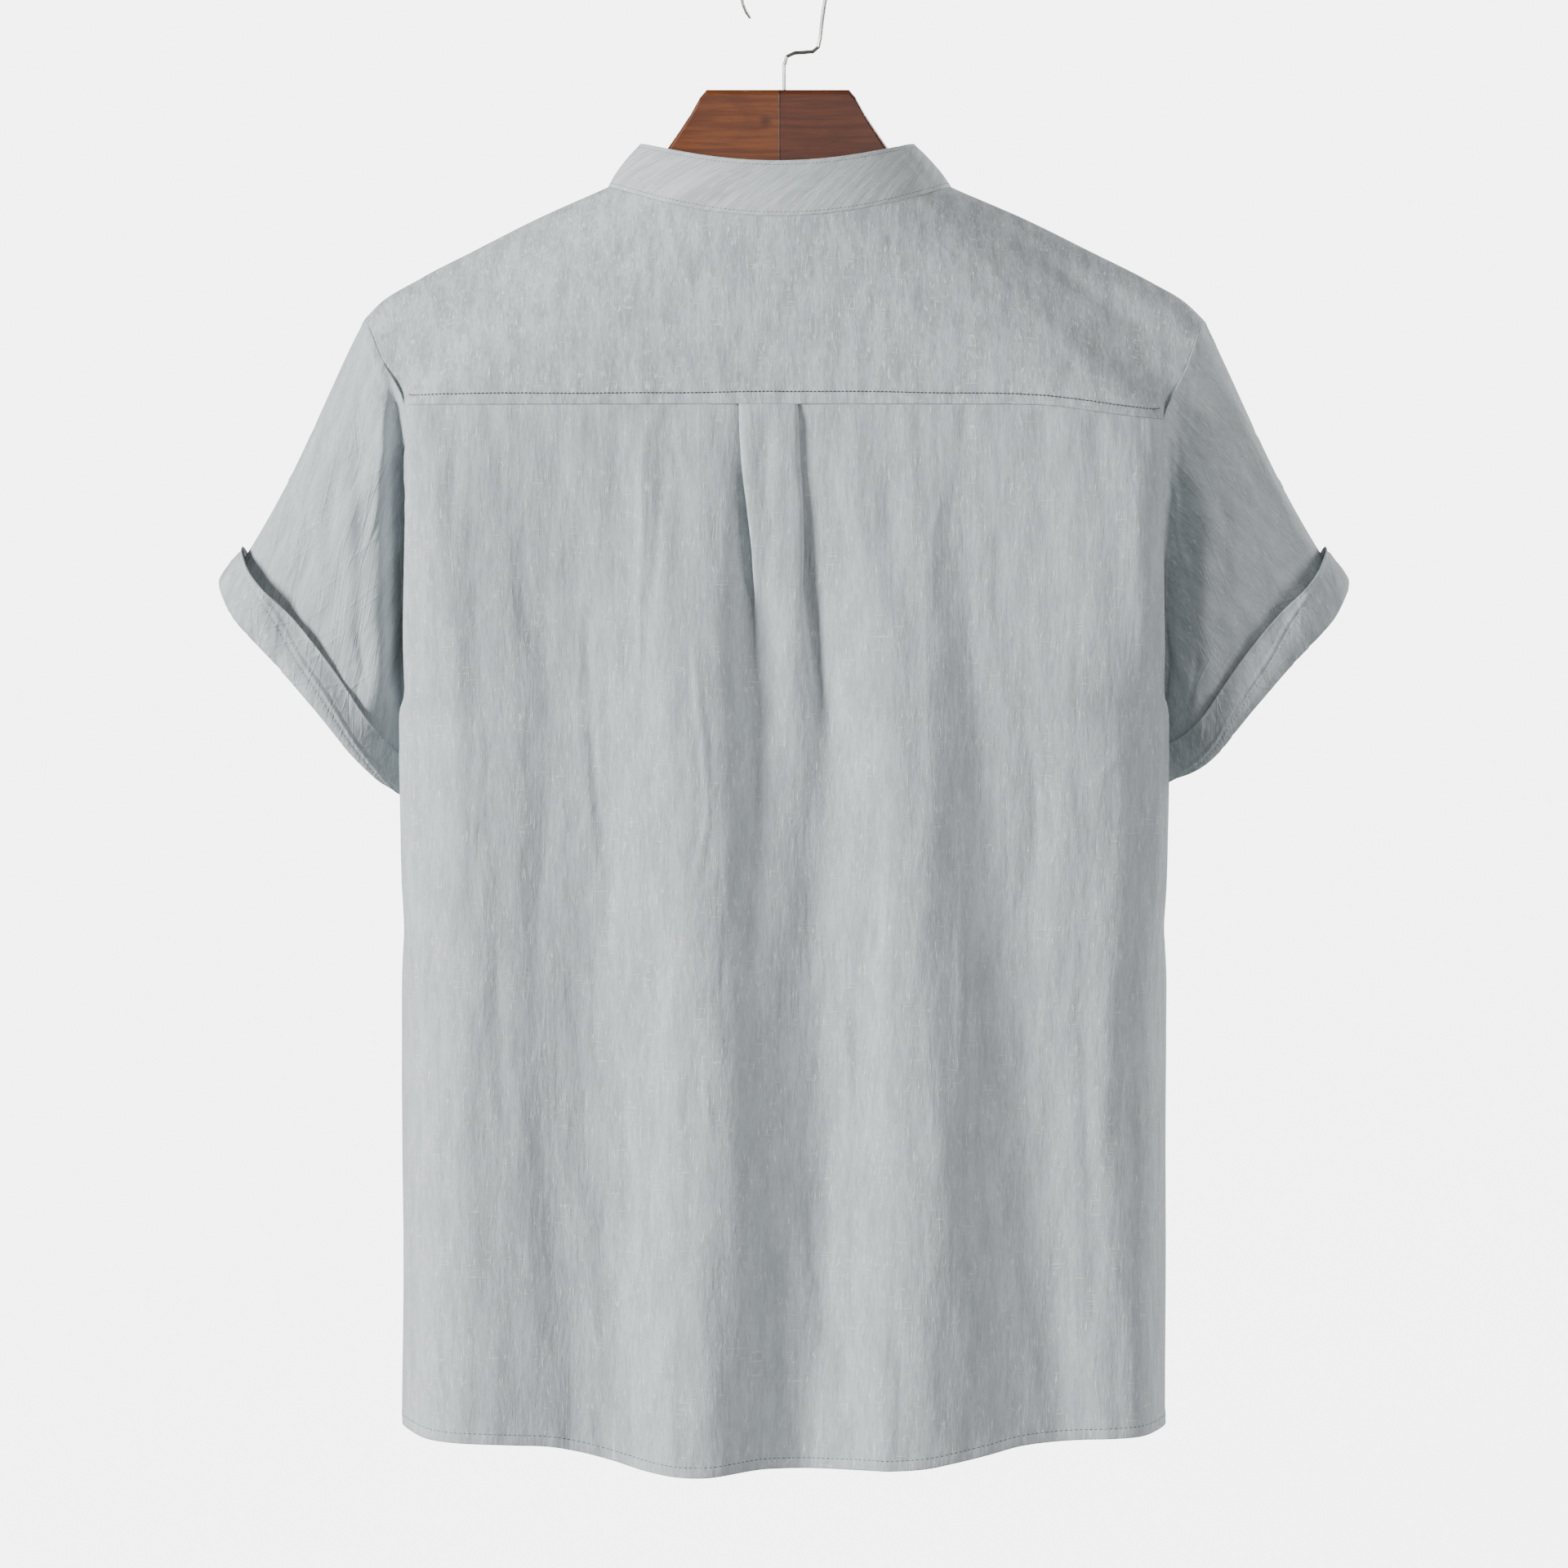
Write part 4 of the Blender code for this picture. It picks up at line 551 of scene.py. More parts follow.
def make_front(side):
    rows = np.concatenate((UPPER_ROWS, LOWER_ROWS))
    angles = quarter_stations(FRONT_STATIONS)
    grid = []
    for row in rows:
        inner, outer = front_inner_point(row, side), edge_point(row, side, False)
        share = max(row - UNDERARM_ROW, 0) / (HEM_ROW - UNDERARM_ROW)
        half = ring_half(outer, soft_step((row - 3) / 2))
        rounded = min(1, CHEST_ROUND[0] + CHEST_ROUND[1] * row)
        hem_in, hem_out = FRONT_HEM.at("z", inner[0]), FRONT_HEM.at("z", side * HALF_WIDTH)
        base = inner[1] + folds(FRONT_FOLDS, 0.0, inner[2]) * (row >= CENTRE_ROW)
        bulge = float(FRONT_BULGE.at("out", min(row, UNDERARM_ROW)))
        line = []
        for share_out, angle in zip(np.linspace(0, 1, len(angles)), angles):
            reach = ring_x(angle, half, abs(outer[0])) / abs(outer[0])
            reach = share_out + (reach - share_out) * rounded
            within = min(reach, 1.0)
            x = inner[0] + (outer[0] - inner[0]) * reach
            z = inner[2] + (outer[2] - inner[2]) * within
            z += share * float(FRONT_HEM.at("z", x) - hem_in - (hem_out - hem_in) * within) \
                * (reach < 1)
            z += yoke_edge_rise(1 - within) * max(1 - row, 0) ** 2
            level = ring_depth(share_out)
            level += (math.cos(angle) ** CUT_POWER - level) * rounded
            level = 1 - within + (level - 1 + within) * soft_step(row)
            y = outer[1] + (base - outer[1]) * level
            y -= bulge * math.sin(math.pi * within)
            beside = abs(x - NECK_X) - PLACKET_HALF
            flat = soft_step(beside / FLAT_REACH)
            wave = folds(FRONT_FOLDS, x, z) * flat + folds(FRONT_FOLDS, 0.0, z) * (1 - flat)
            y -= wave * side_fade(angle) * soft_step(row / CENTRE_ROW)
            if side > 0:
                over_stand = 1 - soft_step(beside / LAP_REACH)
                over_stand *= soft_step((row - LAP_START) / LAP_RUN)
                y -= (CLOTH + LAP_GAP) * over_stand
            line.append((x, y, z))
        grid.append(line)
    return np.array(grid)


def make_band(columns, lap):
    """The button band or the stand under it, moved out from the fronts' own surface by `lap`."""
    rows = np.concatenate((UPPER_ROWS[UPPER_ROWS >= CENTRE_ROW], LOWER_ROWS))
    grid = np.array([[band_point(NECK_X + column, row) for column in columns] for row in rows])
    grid[:, :, 1] -= lap
    grid[0, :, 2] -= SEAM_GAP
    return grid


def make_yoke():
    """The yoke, from its outer edge (left armhole, yoke seam, right armhole) to the neckline."""
    places = np.arange(FRONT_SEAM, YOKE_END + 1)
    outer = [armhole_point(place, 1) for place in places]
    spread = (YOKE_NECK_BACK - YOKE_NECK_FRONT) / (YOKE_END - FRONT_SEAM)
    neck = [neck_point(YOKE_NECK_FRONT + spread * (place - FRONT_SEAM)) for place in places]
    seam = [back_side_point(angle, 1, 0.0) for angle in side_angles()[1:]]
    seam += [back_middle_point(x, 0.0, 0.0) for x in YOKE_MIDDLE]
    seam += [back_side_point(angle, -1, 0.0) for angle in side_angles()[:0:-1]]
    outer += seam
    neck += [neck_point(YOKE_NECK_BACK * point[0] / outer[len(places) - 1][0]) for point in seam]
    outer += [armhole_point(place, -1) for place in places[::-1]]
    neck += [neck_point(-YOKE_NECK_FRONT - spread * (place - FRONT_SEAM))
             for place in places[::-1]]
    outer, neck = np.array(outer), np.array(neck)
    from_end = np.minimum(np.arange(len(outer)), np.arange(len(outer))[::-1])
    softened = soft_step((from_end - 2) / 2.5)[:, None]
    grid = []
    for across, rounds in zip(YOKE_ROWS, YOKE_ROUNDING):
        line = outer.copy()
        for _ in range(rounds):
            line[1:-1] = (line[:-2] + 2 * line[1:-1] + line[2:]) / 4
        line = outer + (line - outer) * softened
        grid.append(line + (neck - line) * across)
    grid = np.array(grid)
    grid[:, :, 2] += YOKE_LIFT.at("rise", YOKE_ROWS)[:, None]
    return grid


def neck_angles():
    """Neck angles of every panel corner, from the left collar end round the back to the right."""
    yoke = make_yoke()[-1]
    along = np.where(yoke[:, 1] > NECK_Y, NECK_BACK, NECK_FRONT)
    angles = np.arctan2((yoke[:, 0] - NECK_X) / NECK_HALF, (yoke[:, 1] - NECK_Y) / along)
    front = [math.radians(float(FRONT_NECK.at("angle", row))) for row in UPPER_ROWS[1:5]]
    front += [neck_angle_at(NECK_X + beside)
              for beside in (PLACKET_HALF + SEAM_GAP / 2, BAND_COLUMN, COLLAR_OPEN)]
    front = np.array(front)
    return np.concatenate((front[::-1], angles, -front))


def make_collar():
    angles = neck_angles()
    base = np.array([neck_point(angle) for angle in angles])
    top = np.array([collar_top(angle) for angle in angles])
    grid = np.array([base + (top - base) * up for up in COLLAR_ROWS])
    middle = np.array((COLLAR_X, NECK_Y, 0.0))
    outward = unit((base - middle) * (1, 1, 0))
    for up, line in zip(COLLAR_ROWS, grid):
        line += outward * COLLAR_FULL * math.sin(math.pi * up)
    return grid


# ------------------------------------------------------------------ sleeves and cuffs
def sleeve_places():
    """Armhole places of a sleeve's columns: the edges of the panels that it is sewn to."""
    half_steps = UPPER_ROWS
    shoulder = np.arange(FRONT_SEAM + 1, YOKE_END)
    return np.concatenate((half_steps, shoulder, YOKE_END + half_steps[:-1]))


def mouth_point(place, side):
    """Point of the sleeve's mouth that an armhole place runs to, and its way round (-1 to 1)."""
    places = np.linspace(0, PLACES, 20 * PLACES + 1)
    points = np.array([armhole_point(p % PLACES, 1) for p in places])
    length = np.concatenate(([0], np.cumsum(np.linalg.norm(np.diff(points, axis=0), axis=1))))
    top = np.interp(SHOULDER_TOP, places, length)
    here = np.interp(place, places, length)
    around = (here - top) / top if place < SHOULDER_TOP else (here - top) / (length[-1] - top)
    fine = np.linspace(0, math.pi, FINE_STEPS)
    long_half = 0.5 * math.dist(CUFF_TIP, CUFF_END)
    along = long_half * np.cos(fine)
    fullness = np.interp(fine, (0, math.pi / 2, math.pi), CUFF_FULLNESS)
    depth = CUFF_DEPTH * np.sin(fine) ** fullness
    oval = np.concatenate(([0], np.cumsum(np.hypot(np.diff(along), np.diff(depth)))))
    at = np.interp(abs(around) * oval[-1], oval, fine)
    u = np.interp(at, fine, along)
    y = CUFF_Y + np.sign(around) * np.interp(at, fine, depth)
    tip, end = np.array(CUFF_TIP), np.array(CUFF_END)
    long_way = unit(tip - end)
    bow = float(CUFF_BOW.at("out", u / long_half))
    x, z = (tip + end) / 2 + long_way * u + np.array((long_way[1], -long_way[0])) * bow
    if side < 0:
        z += RIGHT_END_RISE * soft_step((-u / long_half - 0.55) / 0.45)
    return np.array((side * x, y, z)), around


def make_sleeve(side):
    """A sleeve as a closed tube from the armhole seam to its mouth."""
    places = sleeve_places()
    top = np.array([armhole_point(place, side) for place in places])
    mouth = np.array([mouth_point(place, side)[0] for place in places])
    behind, before = (np.sin(np.pi * np.clip((places - start) / span, 0, 1)) ** HOLLOW_POWER
                      for start, span in (HOLLOW_BEHIND, HOLLOW_BEFORE))
    inward = np.array([(0.0, -1.0, 0.0)]) * (behind - before)[:, None]
    from_underarm = np.minimum(places, PLACES - places)
    aside = np.array([(side, 0.0, 0.0)]) * soft_step(1 - from_underarm / 2.5)[:, None]
    over = soft_step(1 - np.abs(places - SHOULDER_TOP) / 3)
    grid = []
    for along in SLEEVE_ROWS:
        line = top + (mouth - top) * along
        share = along / SLEEVE_HOLLOW_AT
        line = line + (inward * SLEEVE_HOLLOW + aside * SLEEVE_SHELF) * share * math.exp(1 - share)
        line = line - inward * SLEEVE_FULL * math.sin(math.pi * along) ** 2
        line[:, 0] -= side * SLEEVE_DRAW * math.sin(math.pi * along ** 1.5) * over
        grid.append(line)
    return np.array(grid)


def make_cuff(side, sleeve):
    """A sleeve's turned-up end: a band outside it that rolls under the sleeve's lower edge."""
    edge = sleeve[-1]
    up = unit(sleeve[-2] - edge)
    around = unit(np.roll(edge, -1, axis=0) - np.roll(edge, 1, axis=0))
    out = unit(np.cross(around, up))
    centre = edge.mean(axis=0)
    if np.sum(out * (edge - centre)) < 0:
        out = -out
    ways = np.array([mouth_point(place, side)[1] for place in sleeve_places()])
    width, stand, roll = (CUFF_ROUND.at(name, ways) for name in ("width", "stand", "roll"))
    grid = []
    for rise, reach in zip(CUFF_SECTION["up"], CUFF_SECTION["out"]):
        high = np.where(rise > 0, rise * width, rise)
        far = reach * roll + stand * max(rise, 0) / CUFF_SECTION["up"][0]
        grid.append(edge + up * high[:, None] + out * far[:, None])
    return np.array(grid)


# ------------------------------------------------------------------ walls
def grid_normals(grid, closed):
    """Unit normals of a grid's points; closed grids join their last column to their first."""
    if closed:
        wide = np.concatenate((grid[:, -1:], grid, grid[:, :1]), axis=1)
        across = (wide[:, 2:] - wide[:, :-2])
    else:
        across = np.gradient(grid, axis=1)
    down = np.gradient(grid, axis=0)
    return unit(np.cross(unit(across), unit(down)))


def share_normals(panels):
    """Gives points that panels share one normal, so that their edges meet squarely."""
    sums = {}
    for panel in panels.values():
        grid = panel["grid"]
        panel["normals"] = grid_normals(grid, panel["closed"])
        middle = grid.mean(axis=(0, 1)) if panel["closed"] else grid * (0, 0, 1)
        if np.sum(panel["normals"] * (grid - middle)) < 0:
            panel["normals"] = -panel["normals"]
        for point, normal in zip(panel["grid"].reshape(-1, 3), panel["normals"].reshape(-1, 3)):
            key = tuple(np.round(point, 1))
            sums[key] = sums.get(key, 0) + normal
    for panel in panels.values():
        keys = [tuple(np.round(point, 1)) for point in panel["grid"].reshape(-1, 3)]
        shared = np.array([sums[key] for key in keys]).reshape(panel["grid"].shape)
        panel["normals"] = unit(shared)
    shoulder = YOKE_END - FRONT_SEAM
    for name, level in (("yoke", slice(shoulder, -shoulder)), ("back", slice(None))):
        panels[name]["normals"][0, level, 2] = 0
        panels[name]["normals"] = unit(panels[name]["normals"])


# ------------------------------------------------------------------ fine cloth
SHELL_OUT, SHELL_IN = 0.6, -0.3      # faces of the thin cloth shell, from the middle surface
HEM_STITCH = 6.0             # the hem's stitches, up from the edge
HEM_ROWS = (0, 0.8, 2.5, 5.2, 6, 6.8, 9)     # fine rows round them, up from the edge
YOKE_STITCH = 7.0            # the stitches above the yoke seam
FRONT_STITCH = 5.5           # the yoke's stitches beside the seams in front of the shoulders
BAND_STITCH = 5.0            # the button band's stitches, in from its edges
COLLAR_STITCHES = {"top": 2.4, "bottom": 2.6}        # the collar's, in from its edges
CUFF_STITCH = 2.2            # a cuff's, below its tuck
CRINKLE_REACH = 12           # no crinkle is felt further than this to its side


def through(values, keys, at):
    """Smooth curves through rows of values at growing keys, read at other keys."""
    step = np.diff(keys)
    slope = np.diff(values, axis=0) / step[:, None]
    bend = np.concatenate((slope[:1], (slope[:-1] * step[1:, None] + slope[1:] * step[:-1, None])
                           / (step[1:] + step[:-1])[:, None], slope[-1:]))
    left = np.clip(np.searchsorted(keys, at, side="right") - 1, 0, len(keys) - 2)
    gap = step[left][:, None]
    t = (at - keys[left])[:, None] / gap
    return ((1 + 2 * t) * (1 - t) ** 2 * values[left] + t * (1 - t) ** 2 * gap * bend[left]
            + t * t * (3 - 2 * t) * values[left + 1] + t * t * (t - 1) * gap * bend[left + 1])


def chords(points):
    return np.concatenate(([0.0], np.cumsum(np.linalg.norm(np.diff(points, axis=0), axis=1))))


def fine_columns(both, closed, step):
    """The grid with columns about a step apart, and the way across each one, in millimetres."""
    rows, columns = both.shape[:2]
    if closed:
        both = np.concatenate((both[:, -2:], both, both[:, :3]), axis=1)
    across = np.linalg.norm(np.diff(both[:, :, :3], axis=1), axis=2).mean(axis=0)
    keys = np.concatenate(([0.0], np.cumsum(across)))
    start, end = (keys[2], keys[2 + columns]) if closed else (0.0, keys[-1])
    count = int(round((end - start) / step))
    at = np.linspace(start, end, count + 1)
    if closed:
        at = at[:-1]
    flat = both.transpose(1, 0, 2).reshape(both.shape[1], -1)
    made = through(flat, keys, at).reshape(len(at), rows, 6).transpose(1, 0, 2)
    return made, at - start, keys - start


def fine_rows(both, near, far, step):
    """The grid with rows at set distances from its two ends and about a step apart between."""
    lengths = [chords(both[:, column, :3]) for column in range(both.shape[1])]
    middle = np.mean([length[-1] for length in lengths]) - near[-1] - far[-1]
    count = max(int(round(middle / step)), 1)
    made, down = [], []
    for column, keys in enumerate(lengths):
        at = np.concatenate((near[:-1], np.linspace(near[-1], keys[-1] - far[-1], count + 1),
                             keys[-1] - np.array(far[::-1][1:])))
        made.append(through(both[:, column], keys, at))
        down.append(at)
    down = np.array(down).T
    return np.array(made).transpose(1, 0, 2), down, down[-1:] - down


class Cloth:
    """A panel's fine grid: its points, outward normals and distances from its edges."""

    def __init__(self, name, near=(0.0,), far=(0.0,), across=2.0, down=4.0):
        panel = PANELS[name]
        both = np.concatenate((panel["grid"], panel["normals"]), axis=2)
        self.closed = panel["closed"]
        both, s, self.coarse = fine_columns(both, self.closed, across)
        both, self.from_top, self.from_bottom = fine_rows(both, list(near), list(far), down)
        self.name = name
        self.points, self.normals = both[:, :, :3], unit(both[:, :, 3:])
        self.s = np.broadcast_to(s, self.from_top.shape)
        steps = np.linalg.norm(np.diff(self.points, axis=1), axis=2)
        start = np.zeros((len(steps), 1))
        self.from_first = np.concatenate((start, np.cumsum(steps, axis=1)), axis=1)
        self.from_last = self.from_first[:, -1:] - self.from_first
        self.lift = np.zeros(self.from_top.shape)

    def within(self, top, bottom, sides=0):
        """1 inside the panel, falling to 0 over these distances from its edges."""
        share = away(self.from_top, top) * away(self.from_bottom, bottom)
        if sides:
            share = share * away(self.from_first, sides) * away(self.from_last, sides)
        return share

    def x(self):
        return self.points[:, :, 0]

    def z(self):
        return self.points[:, :, 2]

    def surface(self):
        """The outer face's points."""
        return self.points + self.normals * (SHELL_OUT + self.lift)[:, :, None]


def bump(distance, width):
    return np.exp(-(distance / width) ** 2)


def sewn(cloth, distance, at, seed, pucker=0.22, depth=0.25, edge=0.0):
    """A sewn line at a distance from an edge: a groove, and small puckers that fade from it."""
    down_it = distance is cloth.from_first or distance is cloth.from_last
    along = cloth.from_top if down_it else cloth.s
    ripple = (np.sin(along / 1.35 + 3.1 * seed) * np.sin(along / 4.3 + seed)
              + 0.6 * np.sin(along / 2.2 + 1.7 * seed) * np.sin(along / 9.0 + 2.3 * seed))
    cloth.lift += pucker * ripple * bump(distance - at, 3.5) - depth * bump(distance - at, 0.8)
    if edge:
        cloth.lift += edge * (1 - soft_step((distance - at) / 2.5))


def creases(cloth, table, across, down, fade=1.0):
    """Adds creases, each a soft ridge (+) or trough (-) that bows between its two ends."""
    for row in range(len(table.rows)):
        x1, z1, x2, z2, wide, high, bow = (float(table[name][row]) for name in
                                           ("x1", "z1", "x2", "z2", "wide", "high", "bow"))
        length = math.hypot(x2 - x1, z2 - z1)
        ux, uz = (x2 - x1) / length, (z2 - z1) / length
        t = ((across - x1) * ux + (down - z1) * uz) / length
        inside = (t > -0.15) & (t < 1.15)
        off = -(across - x1) * uz + (down - z1) * ux - bow * 4 * t * (1 - t)
        ends = soft_step((t + 0.12) / 0.35) * soft_step((1.12 - t) / 0.35)
        flank = bump(off, wide) - 0.35 * bump(off - 1.6 * wide, 1.3 * wide)
        cloth.lift += np.where(inside, high * ends * flank, 0) * fade


def crinkles(cloth, seed, count, across, down, fade, slope=0.0, high=0.34, long=(18, 70),
             wide=(1.7, 3.6), stray=0.06):
    """Adds many small creases along the grain, uneven in length, depth and spacing."""
    chance = np.random.RandomState(seed)
    low, top = across.min(), across.max()
    bottom, ceiling = down.min(), down.max()
    lift = np.zeros(cloth.lift.shape)
    for _ in range(count):
        x0 = chance.uniform(low, top)
        z0 = chance.uniform(bottom, ceiling)
        length = chance.uniform(*long)
        width = chance.uniform(*wide)
        height = chance.uniform(-1, 0.8) * high
        lean = slope + chance.normal(0, stray)
        t = (down - z0) / length
        near = np.abs(t) < 0.5
        off = across - x0 - lean * (down - z0) - 2.0 * np.sin(t * 3 + x0)
        near &= np.abs(off) < CRINKLE_REACH
        lift[near] += (height * np.cos(math.pi * t[near]) ** 2
                       * (bump(off[near], width) - 0.4 * bump(off[near] - 1.5 * width, width)))
    cloth.lift += lift * fade


def swell(cloth, across, down, seed, high=1.0):
    """Soft uneven waves that run down the cloth between the creases."""
    wave = 0.10 * np.sin(across / 3.4 + 1.3 * np.sin(down / 43.0 + seed)) \
        * np.sin(down / 61.0 + across / 31.0)
    wave += 0.42 * np.sin(across / 5.6 + 1.6 * np.sin(down / 71.0 + 2 * seed) + 1.0) \
        * np.sin(down / 87.0 - across / 43.0 + seed)
    cloth.lift += high * wave


def away(distance, reach):
    """0 at an edge, rising to 1 at a distance from it."""
    return soft_step(distance / reach)


# ------------------------------------------------------------------ objects
def new_object(name, vertices, faces, finish, uv=None):
    """A smooth mesh object from points in millimetres."""
    mesh = bpy.data.meshes.new(name)
    mesh.from_pydata((np.asarray(vertices) * MM).tolist(), [], faces)
    mesh.shade_smooth()
    made = bpy.data.objects.new(name, mesh)
    made.data.materials.append(finish)
    if uv is not None:
        layer = mesh.uv_layers.new(name="cloth")
        corners = np.empty(len(mesh.loops), np.int32)
        mesh.loops.foreach_get("vertex_index", corners)
        layer.data.foreach_set("uv", np.asarray(uv, np.float32)[corners].reshape(-1))
    bpy.context.scene.collection.objects.link(made)
    return made


def shell(cloth, finish, grain=0.0):
    """A thin closed shell of a fine panel, with the cloth's coordinates in metres as a UV map."""
    rows, columns = cloth.lift.shape
    outer = cloth.surface()
    inner = cloth.points + cloth.normals * (SHELL_IN + cloth.lift)[:, :, None]
    count = rows * columns
    starts = np.arange(rows - 1)[:, None] * columns
    if cloth.closed:
        a, b = starts + np.arange(columns), starts + (np.arange(columns) + 1) % columns
    else:
        a, b = starts + np.arange(columns - 1), starts + np.arange(1, columns)
    quads = np.stack((a, b, b + columns, a + columns), axis=-1).reshape(-1, 4)
    faces = [quads, (quads + count)[:, ::-1]]
    first, last = np.arange(columns), np.arange(columns) + (rows - 1) * columns
    if cloth.closed:
        loops = [np.append(first, first[0]), np.append(last, last[0])[::-1]]
    else:
        sides = np.arange(rows) * columns
        loops = [np.concatenate((first, sides[1:] + columns - 1, last[::-1][1:], sides[::-1][1:]))]
    for loop in loops:
        faces.append(np.stack((loop[1:], loop[:-1], loop[:-1] + count, loop[1:] + count), axis=-1))
    faces = np.concatenate(faces)
    vertices = np.concatenate((outer.reshape(-1, 3), inner.reshape(-1, 3)))
    corner = vertices[faces[:len(quads)]]
    facing = np.cross(corner[:, 1] - corner[:, 0], corner[:, 3] - corner[:, 0])
    if np.sum(facing * cloth.normals[:-1, :b.shape[1]].reshape(-1, 3)) < 0:
        faces = faces[:, ::-1]
    u, v = cloth.s, cloth.from_top
    if not cloth.closed:
        u, v = plan_grain(cloth)
    u, v = u.reshape(-1), v.reshape(-1)
    turned = np.stack((u * math.cos(grain) - v * math.sin(grain),
                       u * math.sin(grain) + v * math.cos(grain)), axis=-1)
    return new_object(cloth.name + "_cloth", vertices, faces.tolist(), finish,
                      np.concatenate((turned, turned + 7.0)) * MM)


def plan_grain(cloth):
    """Cloth coordinates whose grain hangs plumb: distance round from the middle, and height."""
    points = cloth.points
    steps = np.hypot(np.diff(points[:, :, 0], axis=1), np.diff(points[:, :, 1], axis=1))
    round_it = np.concatenate((np.zeros((len(steps), 1)), np.cumsum(steps, axis=1)), axis=1)
    across = points[:, :, 0].copy()
    if cloth.name == "yoke":
        return across, points[:, :, 1] - points[:, :, 2]
    if cloth.name == "back":
        middle = np.flatnonzero(np.abs(across[-1]) < PLEAT_REACH)
        first, last = middle[0], middle[-1]
        across[:, :first] = across[:, first, None] + round_it[:, first, None] - round_it[:, :first]
        across[:, last:] = across[:, last, None] + round_it[:, last, None] - round_it[:, last:]
        return across, -points[:, :, 2]
    outward = np.sign(across[-1, -1] - across[-1, 0])
    return across[:, :1] + outward * round_it, -points[:, :, 2]


def at_distance(cloth, which, distance):
    """Points and normals of the outer face along a line at a distance, or a distance for each of
    the crossing lines, from one of its edges."""
    field = {"top": cloth.from_top, "bottom": cloth.from_bottom,
             "first": cloth.from_first, "last": cloth.from_last}[which]
    points, normals = cloth.surface(), cloth.normals
    if which in ("first", "last"):
        field, points, normals = field.T, points.transpose(1, 0, 2), normals.transpose(1, 0, 2)
    if which in ("bottom", "last"):
        field, points, normals = field[::-1], points[::-1], normals[::-1]
    line, lean = [], []
    for column in range(field.shape[1]):
        keys = field[:, column]
        here = distance[column] if np.ndim(distance) else distance
        line.append([np.interp(here, keys, points[:, column, axis]) for axis in range(3)])
        lean.append([np.interp(here, keys, normals[:, column, axis]) for axis in range(3)])
    line, lean = np.array(line), unit(np.array(lean))
    if cloth.closed and which in ("top", "bottom"):
        line, lean = np.vstack((line, line[:1])), np.vstack((lean, lean[:1]))
    return line, lean


class Stitches:
    """Collects short thread stitches along lines into one mesh."""

    def __init__(self):
        self.vertices, self.faces = [], []

    def line(self, line, lean, pitch=2.9, long=2.1, thick=0.26, sink=0.05):
        keys = chords(line)
        for place in np.arange(pitch / 2, keys[-1] - pitch / 2, pitch):
            ends = [np.array([np.interp(place + half, keys, line[:, axis]) for axis in range(3)])
                    for half in (-long / 2, long / 2)]
            up = unit(np.array([np.interp(place, keys, lean[:, axis]) for axis in range(3)]))
            self.one(ends[0], ends[1], up, thick, sink)

    def one(self, start, end, up, thick, sink=0.05):
        """A thread from start to end with tapered ends, sunk a little into the cloth."""
        side = unit(np.cross(up, unit(end - start)))
        base = len(self.vertices)
        for t, size, rise in ((0.0, 0.35, -0.25), (0.22, 0.9, 0.15), (0.78, 0.9, 0.15),
                              (1.0, 0.35, -0.25)):
            centre = start + (end - start) * t + up * (rise * thick - sink)
            for angle in (0, 60, 120, 180, 240, 300):
                turn = math.radians(angle)
                self.vertices.append(centre + thick * size * (math.cos(turn) * side
                                                              + math.sin(turn) * up))
        for ring in range(3):
            for i in range(6):
                j = (i + 1) % 6
                self.faces.append((base + ring * 6 + i, base + ring * 6 + j,
                                   base + ring * 6 + 6 + j, base + ring * 6 + 6 + i))
        self.faces.append(tuple(base + i for i in range(5, -1, -1)))
        self.faces.append(tuple(base + 18 + i for i in range(6)))

    def make(self, name, finish):
        return new_object(name, self.vertices, self.faces, finish)


